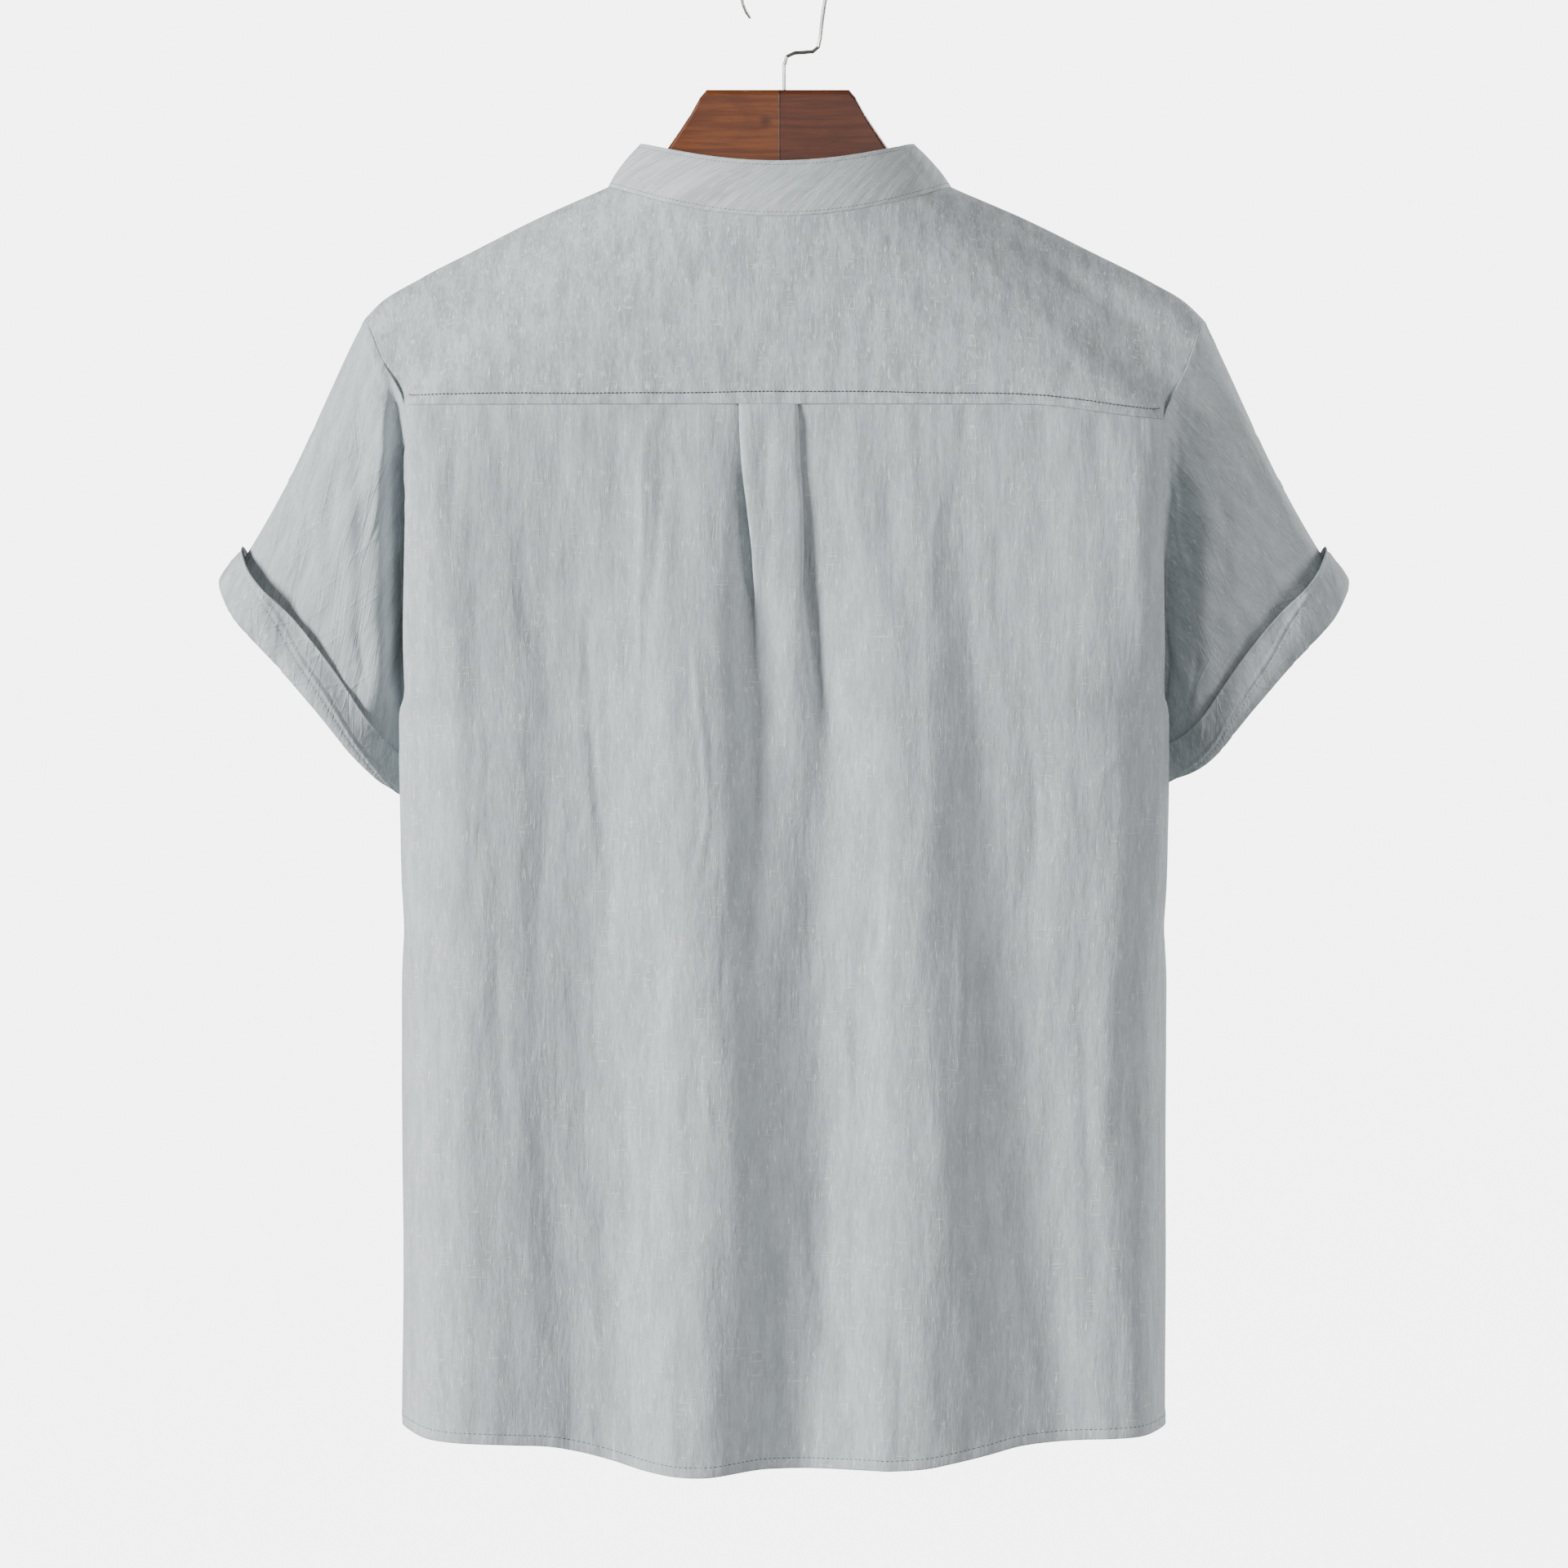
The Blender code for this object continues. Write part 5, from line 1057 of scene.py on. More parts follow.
# ------------------------------------------------------------------ materials
class Shader:
    """A material's node tree, with its Principled shader and a helper for joining nodes."""

    def __init__(self, name, roughness, **sockets):
        self.material = bpy.data.materials.new(name)
        self.material.use_nodes = True
        self.tree = self.material.node_tree
        self.shader = self.tree.nodes["Principled BSDF"]
        self.shader.inputs["Roughness"].default_value = roughness
        for socket, value in sockets.items():
            self.shader.inputs[socket.replace("_", " ")].default_value = value

    def node(self, kind, inputs=(), **settings):
        made = self.tree.nodes.new("ShaderNode" + kind)
        for key, value in settings.items():
            setattr(made, key, value)
        for key, value in dict(inputs).items():
            if isinstance(value, bpy.types.NodeSocket):
                self.tree.links.new(value, made.inputs[key])
            else:
                made.inputs[key].default_value = value
        return made

    def cloth_at(self, scale, shift=(0.0, 0.0, 0.0), turn=0.0):
        place = self.node("UVMap", uv_map="cloth").outputs[0]
        if turn:
            place = self.node("Mapping", {"Vector": place, "Rotation": (0.0, 0.0, turn)}).outputs[0]
        return self.node("Mapping", {"Vector": place, "Scale": (*scale, 1.0),
                                     "Location": shift}).outputs[0]

    def object_at(self, scale, turn=(0.0, 0.0, 0.0), shift=(0.0, 0.0, 0.0)):
        place = self.node("TexCoord").outputs["Object"]
        return self.node("Mapping", {"Vector": place, "Scale": scale, "Rotation": turn,
                                     "Location": shift}).outputs[0]

    def noise(self, vector, detail=2.0, rough=0.5, twist=0.0):
        return self.node("TexNoise", {"Vector": vector, "Scale": 1.0, "Detail": detail,
                                      "Roughness": rough, "Distortion": twist}).outputs["Fac"]

    def span(self, value, low, high, to_low=0.0, to_high=1.0):
        return self.node("MapRange", {"Value": value, "From Min": low, "From Max": high,
                                      "To Min": to_low, "To Max": to_high},
                         interpolation_type="SMOOTHSTEP").outputs[0]

    def math(self, operation, a, b):
        return self.node("Math", {0: a, 1: b}, operation=operation).outputs[0]

    def mix(self, share, a, b):
        made = self.node("Mix", data_type="RGBA")
        for socket, value in ((made.inputs[0], share), (made.inputs[6], a), (made.inputs[7], b)):
            if isinstance(value, bpy.types.NodeSocket):
                self.tree.links.new(value, socket)
            else:
                socket.default_value = value if isinstance(value, float) else (*value, 1.0)
        return made.outputs[2]

    def colour(self, value):
        if isinstance(value, tuple):
            self.shader.inputs["Base Color"].default_value = (*value, 1.0)
        else:
            self.tree.links.new(value, self.shader.inputs["Base Color"])

    def relief(self, height, reach):
        """Bumps the surface; a height of 1 is `reach` metres."""
        made = self.node("Bump", {"Height": height, "Strength": 1.0, "Distance": reach})
        self.tree.links.new(made.outputs[0], self.shader.inputs["Normal"])


def slub_cloth(name, colour, crinkle=1.0, slubs=1.0, threads=1.0, creased=0.06):
    """Plain-woven slub cotton: uneven warp threads, short pale slubs, a few thick wefts and fine
    creases; the four shares say how much of each there is."""
    cloth = Shader(name, 0.93, Specular_IOR_Level=0.15, Sheen_Weight=0.12, Sheen_Roughness=0.45)
    broad = cloth.noise(cloth.cloth_at((120.0, 24.0), (1.0, 6.0, 0.0)), 3.0, 0.6)
    streak = cloth.noise(cloth.cloth_at((560.0, 75.0)), 4.0, 0.72)
    strand = cloth.noise(cloth.cloth_at((1300.0, 200.0), (3.0, 1.0, 0.0)), 1.0, 0.5)
    tone = cloth.math("MULTIPLY", broad, 0.42)
    for part, share in ((streak, 0.36), (strand, 0.22)):
        tone = cloth.math("ADD", tone, cloth.math("MULTIPLY", part, share))
    tone = cloth.mix(cloth.span(tone, 0.36, 0.64), tuple(c * (1 - 0.15 * threads) for c in colour),
                     tuple(c * (1 + 0.15 * threads) for c in colour))
    patch = cloth.noise(cloth.cloth_at((60.0, 36.0), (9.0, 4.0, 0.0)), 2.0)
    slub = cloth.noise(cloth.cloth_at((700.0, 130.0), (2.0, 5.0, 0.0)), 1.0, 0.5)
    slub = cloth.math("MULTIPLY", cloth.span(slub, 0.60, 0.72), cloth.span(patch, 0.36, 0.56))
    weft = cloth.noise(cloth.cloth_at((95.0, 900.0), (5.0, 8.0, 0.0)), 1.0, 0.5)
    weft = cloth.math("MULTIPLY", cloth.span(weft, 0.60, 0.72), cloth.span(patch, 0.48, 0.60))
    pale = tuple(c * 0.5 + 0.42 for c in colour)
    tone = cloth.mix(cloth.math("MULTIPLY", slub, 0.8 * slubs), tone, pale)
    tone = cloth.mix(cloth.math("MULTIPLY", weft, 0.7 * slubs), tone, pale)
    cloth.colour(tone)
    grain = cloth.noise(cloth.cloth_at((1500.0, 1100.0)), 1.0)
    soft = cloth.noise(cloth.cloth_at((80.0, 17.0), (8.0, 3.0, 0.0)), 2.0, 0.5, 0.3)
    fine = cloth.noise(cloth.cloth_at((210.0, 42.0), (7.0, 2.0, 0.0)), 3.0, 0.6, 0.3)
    height = cloth.math("MULTIPLY", streak, 0.12)
    for part, share in ((strand, 0.06), (slub, 0.10), (weft, 0.10), (grain, 0.06),
                        (fine, 0.60 * crinkle), (soft, 1.2 * crinkle)):
        height = cloth.math("ADD", height, cloth.math("MULTIPLY", part, share))
    for turn, start in ((0.55, 3.0), (-0.7, 11.0), (0.12, 7.0)):
        crease = cloth.noise(cloth.cloth_at((380.0, 24.0), (start, 2.0, 0.0), turn), 0.0)
        crease = cloth.span(crease, 0.62, 0.74)
        height = cloth.math("ADD", height, cloth.math("MULTIPLY", crease, 0.45 * creased))
    cloth.relief(height, 0.001)
    return cloth.material


def stained_wood(name, dark, light, knot):
    """Stained beech under varnish, its grain along the hanger's arm and round one knot."""
    wood = Shader(name, 0.42, Coat_Weight=0.2, Coat_Roughness=0.2, Specular_IOR_Level=0.4)
    near = wood.node("VectorMath", {0: wood.node("TexCoord").outputs["Object"], 1: knot},
                     operation="DISTANCE").outputs["Value"]
    grain = wood.noise(wood.object_at((18.0, 300.0, 330.0), (0.0, 0.2, 0.0)), 3.0, 0.55, 0.5)
    pore = wood.noise(wood.object_at((90.0, 1500.0, 1700.0)), 2.0, 0.5)
    broad = wood.noise(wood.object_at((22.0, 40.0, 30.0), shift=(0.3, 0.0, 0.0)), 3.0, 0.6, 0.8)
    tone = wood.mix(wood.span(grain, 0.34, 0.66), dark, light)
    tone = wood.mix(wood.span(broad, 0.4, 0.7, 0.0, 0.6), tone, tuple(c * 0.75 for c in dark))
    tone = wood.mix(wood.span(pore, 0.62, 0.78, 0.0, 0.2), tone, tuple(c * 0.5 for c in dark))
    tone = wood.mix(wood.span(near, 0.0, 0.006, 0.75, 0.0), tone, tuple(c * 0.35 for c in dark))
    wood.colour(tone)
    wood.relief(wood.math("ADD", wood.math("MULTIPLY", grain, 0.1),
                          wood.math("MULTIPLY", pore, 0.05)), 0.0004)
    return wood.material


def wire_metal(name):
    metal = Shader(name, 0.32, Metallic=1.0)
    worn = metal.noise(metal.object_at((180.0, 180.0, 40.0)), 3.0, 0.6)
    metal.colour(metal.mix(metal.span(worn, 0.35, 0.7), (0.42, 0.40, 0.37), (0.66, 0.64, 0.60)))
    metal.relief(metal.math("MULTIPLY", worn, 0.3), 0.0003)
    return metal.material


def pearl(name):
    shell_like = Shader(name, 0.28, Coat_Weight=0.4, Coat_Roughness=0.12)
    cloud = shell_like.noise(shell_like.object_at((260.0, 90.0, 320.0)), 3.0, 0.6, 1.5)
    shell_like.colour(shell_like.mix(shell_like.span(cloud, 0.3, 0.7), (0.42, 0.43, 0.42),
                                     (0.66, 0.66, 0.63)))
    shell_like.relief(shell_like.math("MULTIPLY", cloud, 0.2), 0.0004)
    return shell_like.material


def thread(name, colour):
    twist = Shader(name, 0.75, Sheen_Weight=0.2)
    ply = twist.noise(twist.object_at((2600.0, 2600.0, 2600.0)), 2.0)
    twist.colour(twist.mix(twist.span(ply, 0.3, 0.7), tuple(c * 0.75 for c in colour), colour))
    twist.relief(ply, 0.0002)
    return twist.material


CLOTH_COLOUR = (0.428, 0.468, 0.487)
COLLAR_COLOUR = (0.470, 0.505, 0.520)
THREAD_COLOUR = (0.080, 0.090, 0.095)
finish_body = slub_cloth("slub_cotton", CLOTH_COLOUR)
finish_yoke = slub_cloth("slub_cotton_yoke", CLOTH_COLOUR, crinkle=0.6, slubs=1.5, threads=1.7)
finish_sleeve = slub_cloth("slub_cotton_sleeve", CLOTH_COLOUR, crinkle=0.3, slubs=0.8,
                           creased=0.3)
finish_flat = slub_cloth("slub_cotton_pressed", CLOTH_COLOUR, crinkle=0.4, threads=1.4,
                         creased=0.35)
finish_collar = slub_cloth("slub_cotton_collar", COLLAR_COLOUR, crinkle=0.5, threads=1.5)
finish_thread = thread("sewing_thread", THREAD_COLOUR)
finish_pearl = pearl("button_shell")
finish_tie = thread("button_thread", (0.50, 0.52, 0.52))


# ------------------------------------------------------------------ the shirt
def dressed(piece, node=None):
    """Fixes a piece to the one body, in place of its CAD node where it stands for one."""
    if node:
        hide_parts(node)
    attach(piece, "root")
    return piece


def add_panel(cloth, finish, stitches=None, grain=0.0):
    """Makes a panel's shell and its stitches, and fixes them to the body in place of the panel's
    CAD node.
    """
    piece = shell(cloth, finish, grain)
    if stitches:
        dressed(stitches.make(cloth.name + "_stitches", finish_thread))
    dressed(piece, cloth.name)


# Creases of the back and of the left sleeve, each from (x1, z1) to (x2, z2): its half width,
# height and sideways bow.
BACK_CREASES = Table(
    "row x1    z1    x2    z2  wide  high  bow",
    (0,   79, -282,   82, -323, 2.0,  0.9,  1.0),
    (1,   82, -321,   83, -363, 2.0,  1.0, -0.8),
    (2,   83, -361,   82, -429, 2.2,  0.8,  0.8),
    (3,   70, -302,   79, -387, 3.0, -0.8, -2.0),
    (4,   52, -405,   46, -467, 1.8,  1.0,  1.2),
    (5,   46, -461,   44, -497, 1.7,  1.3,  0.6),
    (6,   44, -493,   52, -547, 1.9,  1.0, -2.2),
    (7,  112, -384,  112, -438, 3.2, -0.8,  1.2),
    (8,  112, -433,  103, -537, 3.2, -1.0,  1.5),
    (9,  110, -458,  109, -485, 1.3, -0.7,  0.4),
    (10, 110, -498,  118, -522, 1.2,  0.6,  0.5),
    (11,  20, -545,   21, -584, 1.4, -0.9,  0.6),
    (12,  44, -595,   51, -617, 1.3,  0.6, -0.5),
    (13,  46, -652,   42, -689, 1.9,  0.8,  0.6),
    (14, -31, -297,  -46, -351, 5.0,  1.2,  1.5),
    (15, -59, -308,  -63, -389, 6.0, -1.0, -2.0),
    (16,  61, -281,   58, -309, 1.6,  0.6,  0.6),
    (17, -89, -321,  -85, -346, 1.7,  0.6, -0.8),
    (18, -197, -467, -182, -488, 1.8, 0.7,  0.8),
    (19, -126, -339, -122, -396, 4.0, -0.7, 1.5),
    (20, -142, -464, -145, -546, 3.4, -0.8, -1.6),
    (21, 151, -339,  147, -410, 4.2, -0.8,  1.8),
    (22, 185, -302,  189, -368, 3.6,  0.7, -1.4),
    (23, 165, -579,  159, -692, 4.4, -0.8,  2.4),
    (24, -103, -565, -97, -687, 4.6,  0.9, -2.2),
    (25, -174, -598, -178, -724, 4.4, -0.8, 2.0),
    (26, -37, -602,  -40, -706, 3.8,  0.7,  1.6),
    (27,  94, -673,   89, -771, 4.0, -0.7, -1.8),
    (28,  14, -386,    8, -339, 4.0, -1.0,  0.8),
    (29,   9, -339,   10, -277, 4.0, -1.1, -0.6))
SLEEVE_CREASES = Table(
    "row x1    z1    x2    z2  wide  high  bow",
    (0,  233, -269,  234, -297, 1.7,  0.9,  0.8),
    (1,  234, -295,  237, -319, 1.6,  1.0,  0.5),
    (2,  236, -317,  244, -355, 1.6,  0.9, -1.0),
    (3,  245, -253,  238, -279, 1.4,  0.6,  1.0),
    (4,  242, -245,  233, -267, 1.3, -0.5, -0.6),
    (5,  273, -278,  270, -297, 1.4, -0.6,  0.5),
    (6,  288, -313,  281, -330, 1.4,  0.6,  0.8),
    (7,  281, -330,  289, -368, 1.5,  0.7, -1.6),
    (8,  227, -423,  235, -448, 1.6, -0.7,  1.0),
    (9,  261, -299,  265, -361, 4.0, -0.8,  1.5),
    (10, 253, -318,  255, -423, 5.0,  0.9, -1.5),
    (11, 248, -399,  242, -437, 1.8, -0.6,  0.8))


SIDE_PUFF, PUFF_RISE, PUFF_FALL = 3.0, 9, 80     # the back stands out beside its side seams
LEFT_OF_HOOK, BELOW_BACK, FRONT_SHARE = 9.0, 23.0, 0.85     # the fronts' share of its creases
HOLLOW_TOP = -215.0          # the left sleeve's hollow beside the body starts here
LIP_HEIGHT, LIP_END, LIP_START, LIP_BOTTOM = 6.0, 227.0, 249.0, -455.0      # the lip along it
HOLLOW_DEPTH, HOLLOW_EDGE, HOLLOW_BOTTOM = 4.0, 230.0, -545.0    # its drop behind the body
# Where a cuff's small tuck runs: how far below the free edge, by its distance out.
CUFF_TUCK = Table("out below", (220, 19.5), (250, 17.0), (281, 12.5), (294, 7.0), (301, 4.0),
                  (308, 2.0), (316, 1.0), (340, 1.0))
# A cuff's free edge lies down on the sleeve between these two distances out.
CUFF_SETTLE, SETTLE_FROM, SETTLE_TO = {"cuff_left": 5.0, "cuff_right": 3.8}, 238, 305


def seam_puckers(cloth):
    """Small uneven gathers that hang from the seam along the top of a panel."""
    gather = (np.sin(cloth.s / 3.1 + 0.7) * np.sin(cloth.s / 11.0)
              + 0.7 * np.sin(cloth.s / 5.2 + 2.0) * np.sin(cloth.s / 17.0 + 1.1))
    fade = away(cloth.from_top, 4) * (1 - soft_step((cloth.from_top - 6) / 30))
    cloth.lift += 0.4 * gather * fade


def hemmed(cloth, seed):
    """Turns up the panel's hem and returns its stitches."""
    sewn(cloth, cloth.from_bottom, HEM_STITCH, seed, edge=0.35)
    sewing = Stitches()
    sewing.line(*at_distance(cloth, "bottom", HEM_STITCH))
    return sewing


def make_back_cloth():
    cloth = Cloth("back", near=(0, 1, 2.5, 5), far=HEM_ROWS, across=2.0, down=4.0)
    x, z = cloth.x(), cloth.z()
    inside = cloth.within(12, 9, 8)
    creases(cloth, BACK_CREASES, x, z, inside)
    crinkles(cloth, 5, 300, x, z, inside, high=0.26)
    seam_puckers(cloth)
    swell(cloth, x, z, 1.0, 1.7 * inside)
    for field in (cloth.from_first, cloth.from_last):
        cloth.points[:, :, 1] += SIDE_PUFF * away(field, PUFF_RISE) \
            * (1 - soft_step((field - PUFF_RISE) / PUFF_FALL)) * away(cloth.from_top, 50)
    cloth.lift -= 0.35 * (1 - away(cloth.from_top, 4))
    # Beside the pleat's folded edges the cloth is drawn up level with the yoke seam.
    left, right = float(PLEAT_RUN["left"][0]), float(PLEAT_RUN["right"][0])
    beside = soft_step((x[0] - left + 1) / 2) + soft_step((right + 1 - x[0]) / 2)
    level = np.array([back_middle_point(float(at), 0.0, 0.0)[1] for at in x[0]])
    recess = level - cloth.points[0, :, 1]
    beside *= np.abs(x[0]) < PLEAT_REACH
    cloth.points[:, :, 1] += 0.85 * np.clip(recess, 0, 3) * beside * (1 - away(cloth.from_top, 14))
    add_panel(cloth, finish_body, hemmed(cloth, 1.3))


def make_yoke_cloth():
    cloth = Cloth("yoke", near=(0, 0.8, 2.5, 5, 6.2, 7, 7.8, 10), far=(0, 1.0, 3.0), across=2.2,
                  down=3.4)
    shoulder = YOKE_END - FRONT_SEAM
    edges = np.array([cloth.coarse[shoulder], cloth.coarse[-1 - shoulder]])
    behind = soft_step((cloth.s - edges[0]) / 6) * soft_step((edges[1] - cloth.s) / 6)
    wave = 0.4 * np.sin(cloth.s / 27.0 + 0.6) + 0.14 * np.sin(cloth.s / 8.6 + 1.0)
    sewn(cloth, cloth.from_top + wave, YOKE_STITCH, 0.4, pucker=0.34, depth=0.45)
    cloth.lift += 0.28 * bump(cloth.from_top - 0.8, 0.9)
    cloth.lift *= behind
    inside = cloth.within(12, 8, 12)
    crinkles(cloth, 11, 260, cloth.s, cloth.from_top, inside, high=0.22, long=(12, 40))
    swell(cloth, cloth.s, cloth.from_top, 3.0, 0.35 * inside)
    for field in (cloth.from_first, cloth.from_last):
        cloth.lift += 0.4 * (1 - soft_step((field - FRONT_STITCH) / 2.5)) * (1 - behind)
    sewing = Stitches()
    line, lean = at_distance(cloth, "top", YOKE_STITCH - wave[0])
    back_part = (cloth.s[0] > edges[0] + 1) & (cloth.s[0] < edges[1] - 1)
    sewing.line(line[back_part], lean[back_part], pitch=2.3, long=1.5, thick=0.5, sink=0.0)
    for which in ("first", "last"):
        line, lean = at_distance(cloth, which, FRONT_STITCH)
        sewing.line(line[1:-1], lean[1:-1])
    add_panel(cloth, finish_yoke, sewing)


def make_front_cloth(name, seed):
    cloth = Cloth(name, near=(0, 1, 3), far=HEM_ROWS, across=2.0, down=4.0)
    x, z = cloth.x(), cloth.z()
    inside = cloth.within(12, 9, 8)
    creases(cloth, BACK_CREASES, 1.06 * x + LEFT_OF_HOOK, z + BELOW_BACK, FRONT_SHARE * inside)
    crinkles(cloth, seed, 150, x, z, inside, high=0.26)
    swell(cloth, x, z, 0.1 * seed, inside)
    add_panel(cloth, finish_body, hemmed(cloth, 1.9))


def make_sleeve_cloth(name, side, seed):
    cloth = Cloth(name, near=(0, 1, 3), far=(0, 2.0), across=1.5, down=1.9)
    inside = cloth.within(12, 6)
    behind = soft_step((cloth.points[:, :, 1] - SIDE_Y) / 12)
    x, z = side * cloth.x(), cloth.z()
    shift = 0.0 if side > 0 else 7.0
    creases(cloth, SLEEVE_CREASES, x + shift, z + 2 * shift, behind * away(cloth.from_top, 4))
    creases(cloth, SLEEVE_CREASES, x - 6.0, z - 14.0 + shift, (1 - behind) * inside)
    crinkles(cloth, seed, 190, cloth.s, cloth.from_top, inside, high=0.45, long=(12, 55),
             wide=(1.1, 2.1), stray=0.4)
    swell(cloth, cloth.s, cloth.from_top, 0.1 * seed, inside)
    crinkles(cloth, seed + 5, 420, cloth.s, cloth.from_top,
             inside * bump(cloth.from_top - 10.0, 18.0), high=0.7, long=(14, 40), wide=(1.0, 1.8),
             stray=0.25)
    ripple = np.sin(cloth.s / 2.6 + seed) * np.sin(cloth.s / 7.3 + 2.0 * seed)
    cloth.lift += 0.42 * ripple * bump(cloth.from_top - 5.0, 7.0) * away(cloth.from_top, 3)
    cloth.lift += (0.55 - 0.15 * shift / 7) * bump(cloth.from_top - 3.5, 2.2)
    if side > 0:
        run = behind * soft_step((HOLLOW_TOP - z) / 80) * away(cloth.from_top, 5)
        lip = LIP_HEIGHT * soft_step((LIP_START - x) / 15) * soft_step((x - LIP_END) / 6)
        drop = HOLLOW_DEPTH * soft_step((HOLLOW_EDGE - x) / 6)
        cloth.points[:, :, 1] += run * soft_step((z - LIP_BOTTOM) / 30) * lip
        cloth.points[:, :, 1] -= run * soft_step((z - HOLLOW_BOTTOM) / 60) * drop
    add_panel(cloth, finish_sleeve, grain=side * 0.30)


def make_cuff_cloth(name, seed):
    cloth = Cloth(name, near=(0, 0.8, 2.4), far=(0,), across=1.2, down=1.0)
    crinkles(cloth, seed, 150, cloth.s, cloth.from_top, cloth.within(2, 6), slope=0.5, high=0.6,
             long=(7, 24), wide=(0.9, 1.7), stray=0.5)
    out = np.abs(cloth.x())
    below = CUFF_TUCK.at("below", out.reshape(-1)).reshape(out.shape)
    wander = 0.5 * np.sin(cloth.s / 19.0 + seed) + 0.3 * np.sin(cloth.s / 8.3)
    tuck = cloth.from_top - below - wander
    cloth.lift += 0.75 * bump(tuck, 0.9) - 0.35 * bump(tuck - CUFF_STITCH, 0.9) \
        - 0.4 * bump(tuck + CUFF_STITCH, 0.9)
    cloth.lift -= CUFF_SETTLE[name] * soft_step((out - SETTLE_FROM) / 24) \
        * soft_step((SETTLE_TO - out) / 14) * (1 - soft_step(cloth.from_top / 24))
    cloth.lift += 0.4 * (1 - away(cloth.from_top, 1.6)) * (1 + 0.6 * np.sin(cloth.s / 11.0 + seed))
    sewing = Stitches()
    line, lean = at_distance(cloth, "top", below[0] + CUFF_STITCH)
    sewing.line(line, lean, pitch=2.6, long=1.2, thick=0.16)
    add_panel(cloth, finish_flat, sewing)


def make_collar_cloth():
    cloth = Cloth("collar", near=(0, 0.8, 2.2, 3), far=(0, 0.7, 1.6, 2.5, 3.4), across=1.6,
                  down=2.0)
    sewn(cloth, cloth.from_top, COLLAR_STITCHES["top"], 0.9, pucker=0.08, depth=0.18)
    sewn(cloth, cloth.from_bottom, COLLAR_STITCHES["bottom"], 1.5, pucker=0.08, depth=0.18)
    cloth.lift += 0.45 * away(cloth.from_top, 1.0)
    sewing = Stitches()
    for edge, distance in COLLAR_STITCHES.items():
        line, lean = at_distance(cloth, edge, distance)
        sewing.line(line, lean, pitch=2.5, long=1.8, thick=0.2)
    add_panel(cloth, finish_collar, sewing)


def make_placket_cloth():
    """The button band; its edges are spread and raised so that they cover the slits beside it."""
    cloth = Cloth("placket", near=(0, 1, 2.4), far=HEM_ROWS, across=1.6, down=4.0)
    left, right = 1 - away(cloth.from_first, 4), 1 - away(cloth.from_last, 4)
    cloth.points[:, :, 0] += 0.7 * left - 1.4 * right
    cloth.lift += 0.95 * left
    for field in (cloth.from_first, cloth.from_last):
        cloth.lift += 0.12 * bump(field - 2.2, 1.5) - 0.15 * bump(field - BAND_STITCH, 0.9)
    crinkles(cloth, 31, 40, cloth.x(), cloth.z(), cloth.within(6, 6), high=0.15)
    sewing = Stitches()
    for edge, distance in (("first", BAND_STITCH), ("last", BAND_STITCH), ("bottom", HEM_STITCH)):
        sewing.line(*at_distance(cloth, edge, distance))
    add_panel(cloth, finish_flat, sewing)


def add_panel_grid(name, grid, closed=False):
    PANELS[name] = {"grid": grid, "closed": closed}


PANELS = {}
add_panel_grid("back", make_back())
add_panel_grid("yoke", make_yoke())
add_panel_grid("front_left", make_front(1))
add_panel_grid("front_right", make_front(-1))
add_panel_grid("placket", make_band((PLACKET_HALF, BAND_COLUMN, -BAND_COLUMN, -PLACKET_HALF),
                                    CLOTH + LAP_GAP))
add_panel_grid("button_stand", make_band((STAND_REACH, BAND_COLUMN, -BAND_COLUMN,
                                          SEAM_GAP / 2 - PLACKET_HALF), 0.0))
add_panel_grid("collar", make_collar())
SIDES = {"left": 1, "right": -1}
for which, side in SIDES.items():
    add_panel_grid("sleeve_" + which, make_sleeve(side), closed=True)
for which, side in SIDES.items():
    add_panel_grid("cuff_" + which, make_cuff(side, PANELS["sleeve_" + which]["grid"]), closed=True)
share_normals(PANELS)

make_yoke_cloth()
make_back_cloth()
make_front_cloth("front_left", 21)
make_front_cloth("front_right", 22)
make_placket_cloth()
add_panel(Cloth("button_stand", across=3.0, down=6.0), finish_flat)
make_collar_cloth()
for (which, side), seed in zip(SIDES.items(), (41, 42)):
    make_sleeve_cloth("sleeve_" + which, side, seed)
    make_cuff_cloth("cuff_" + which, seed + 10)


# ------------------------------------------------------------------ hanger, buttons, buttonholes
def make_joint():
    """The glue line between the hanger's halves: a thin filling with a bead just proud of them."""
    section = ((-0.10, -3.0), (-0.10, 0.02), (-0.40, 0.02), (-0.30, 0.10), (0.30, 0.10),
               (0.40, 0.02), (0.10, 0.02), (0.10, -3.0))
    vertices, faces, sides, turns = [], [], len(section), 0
    for quarter in range(4):
        for angle in math.pi / 2 * (quarter + np.linspace(0, 1, 7)):
            sign_y = 1 if quarter in (0, 3) else -1
            sign_z = 1 if quarter in (0, 1) else -1
            for across, out in section:
                reach = WOOD_CORNER + out
                vertices.append((WOOD_JOINT + across,
                                 WOOD_Y + sign_y * (WOOD_HALF_Y - WOOD_CORNER)
                                 + reach * math.cos(angle),
                                 (WOOD_TOP + WOOD_BOTTOM) / 2
                                 + sign_z * ((WOOD_TOP - WOOD_BOTTOM) / 2 - WOOD_CORNER)
                                 + reach * math.sin(angle)))
            turns += 1
    for turn in range(turns):
        for i in range(sides):
            j, ahead = (i + 1) % sides, (turn + 1) % turns
            faces.append((turn * sides + i, turn * sides + j, ahead * sides + j, ahead * sides + i))
    glue = stained_wood("glue_line", (0.03, 0.009, 0.003), (0.05, 0.014, 0.004), (0.0, 0.0, 0.0))
    dressed(new_object("hanger_joint", vertices, faces, glue))


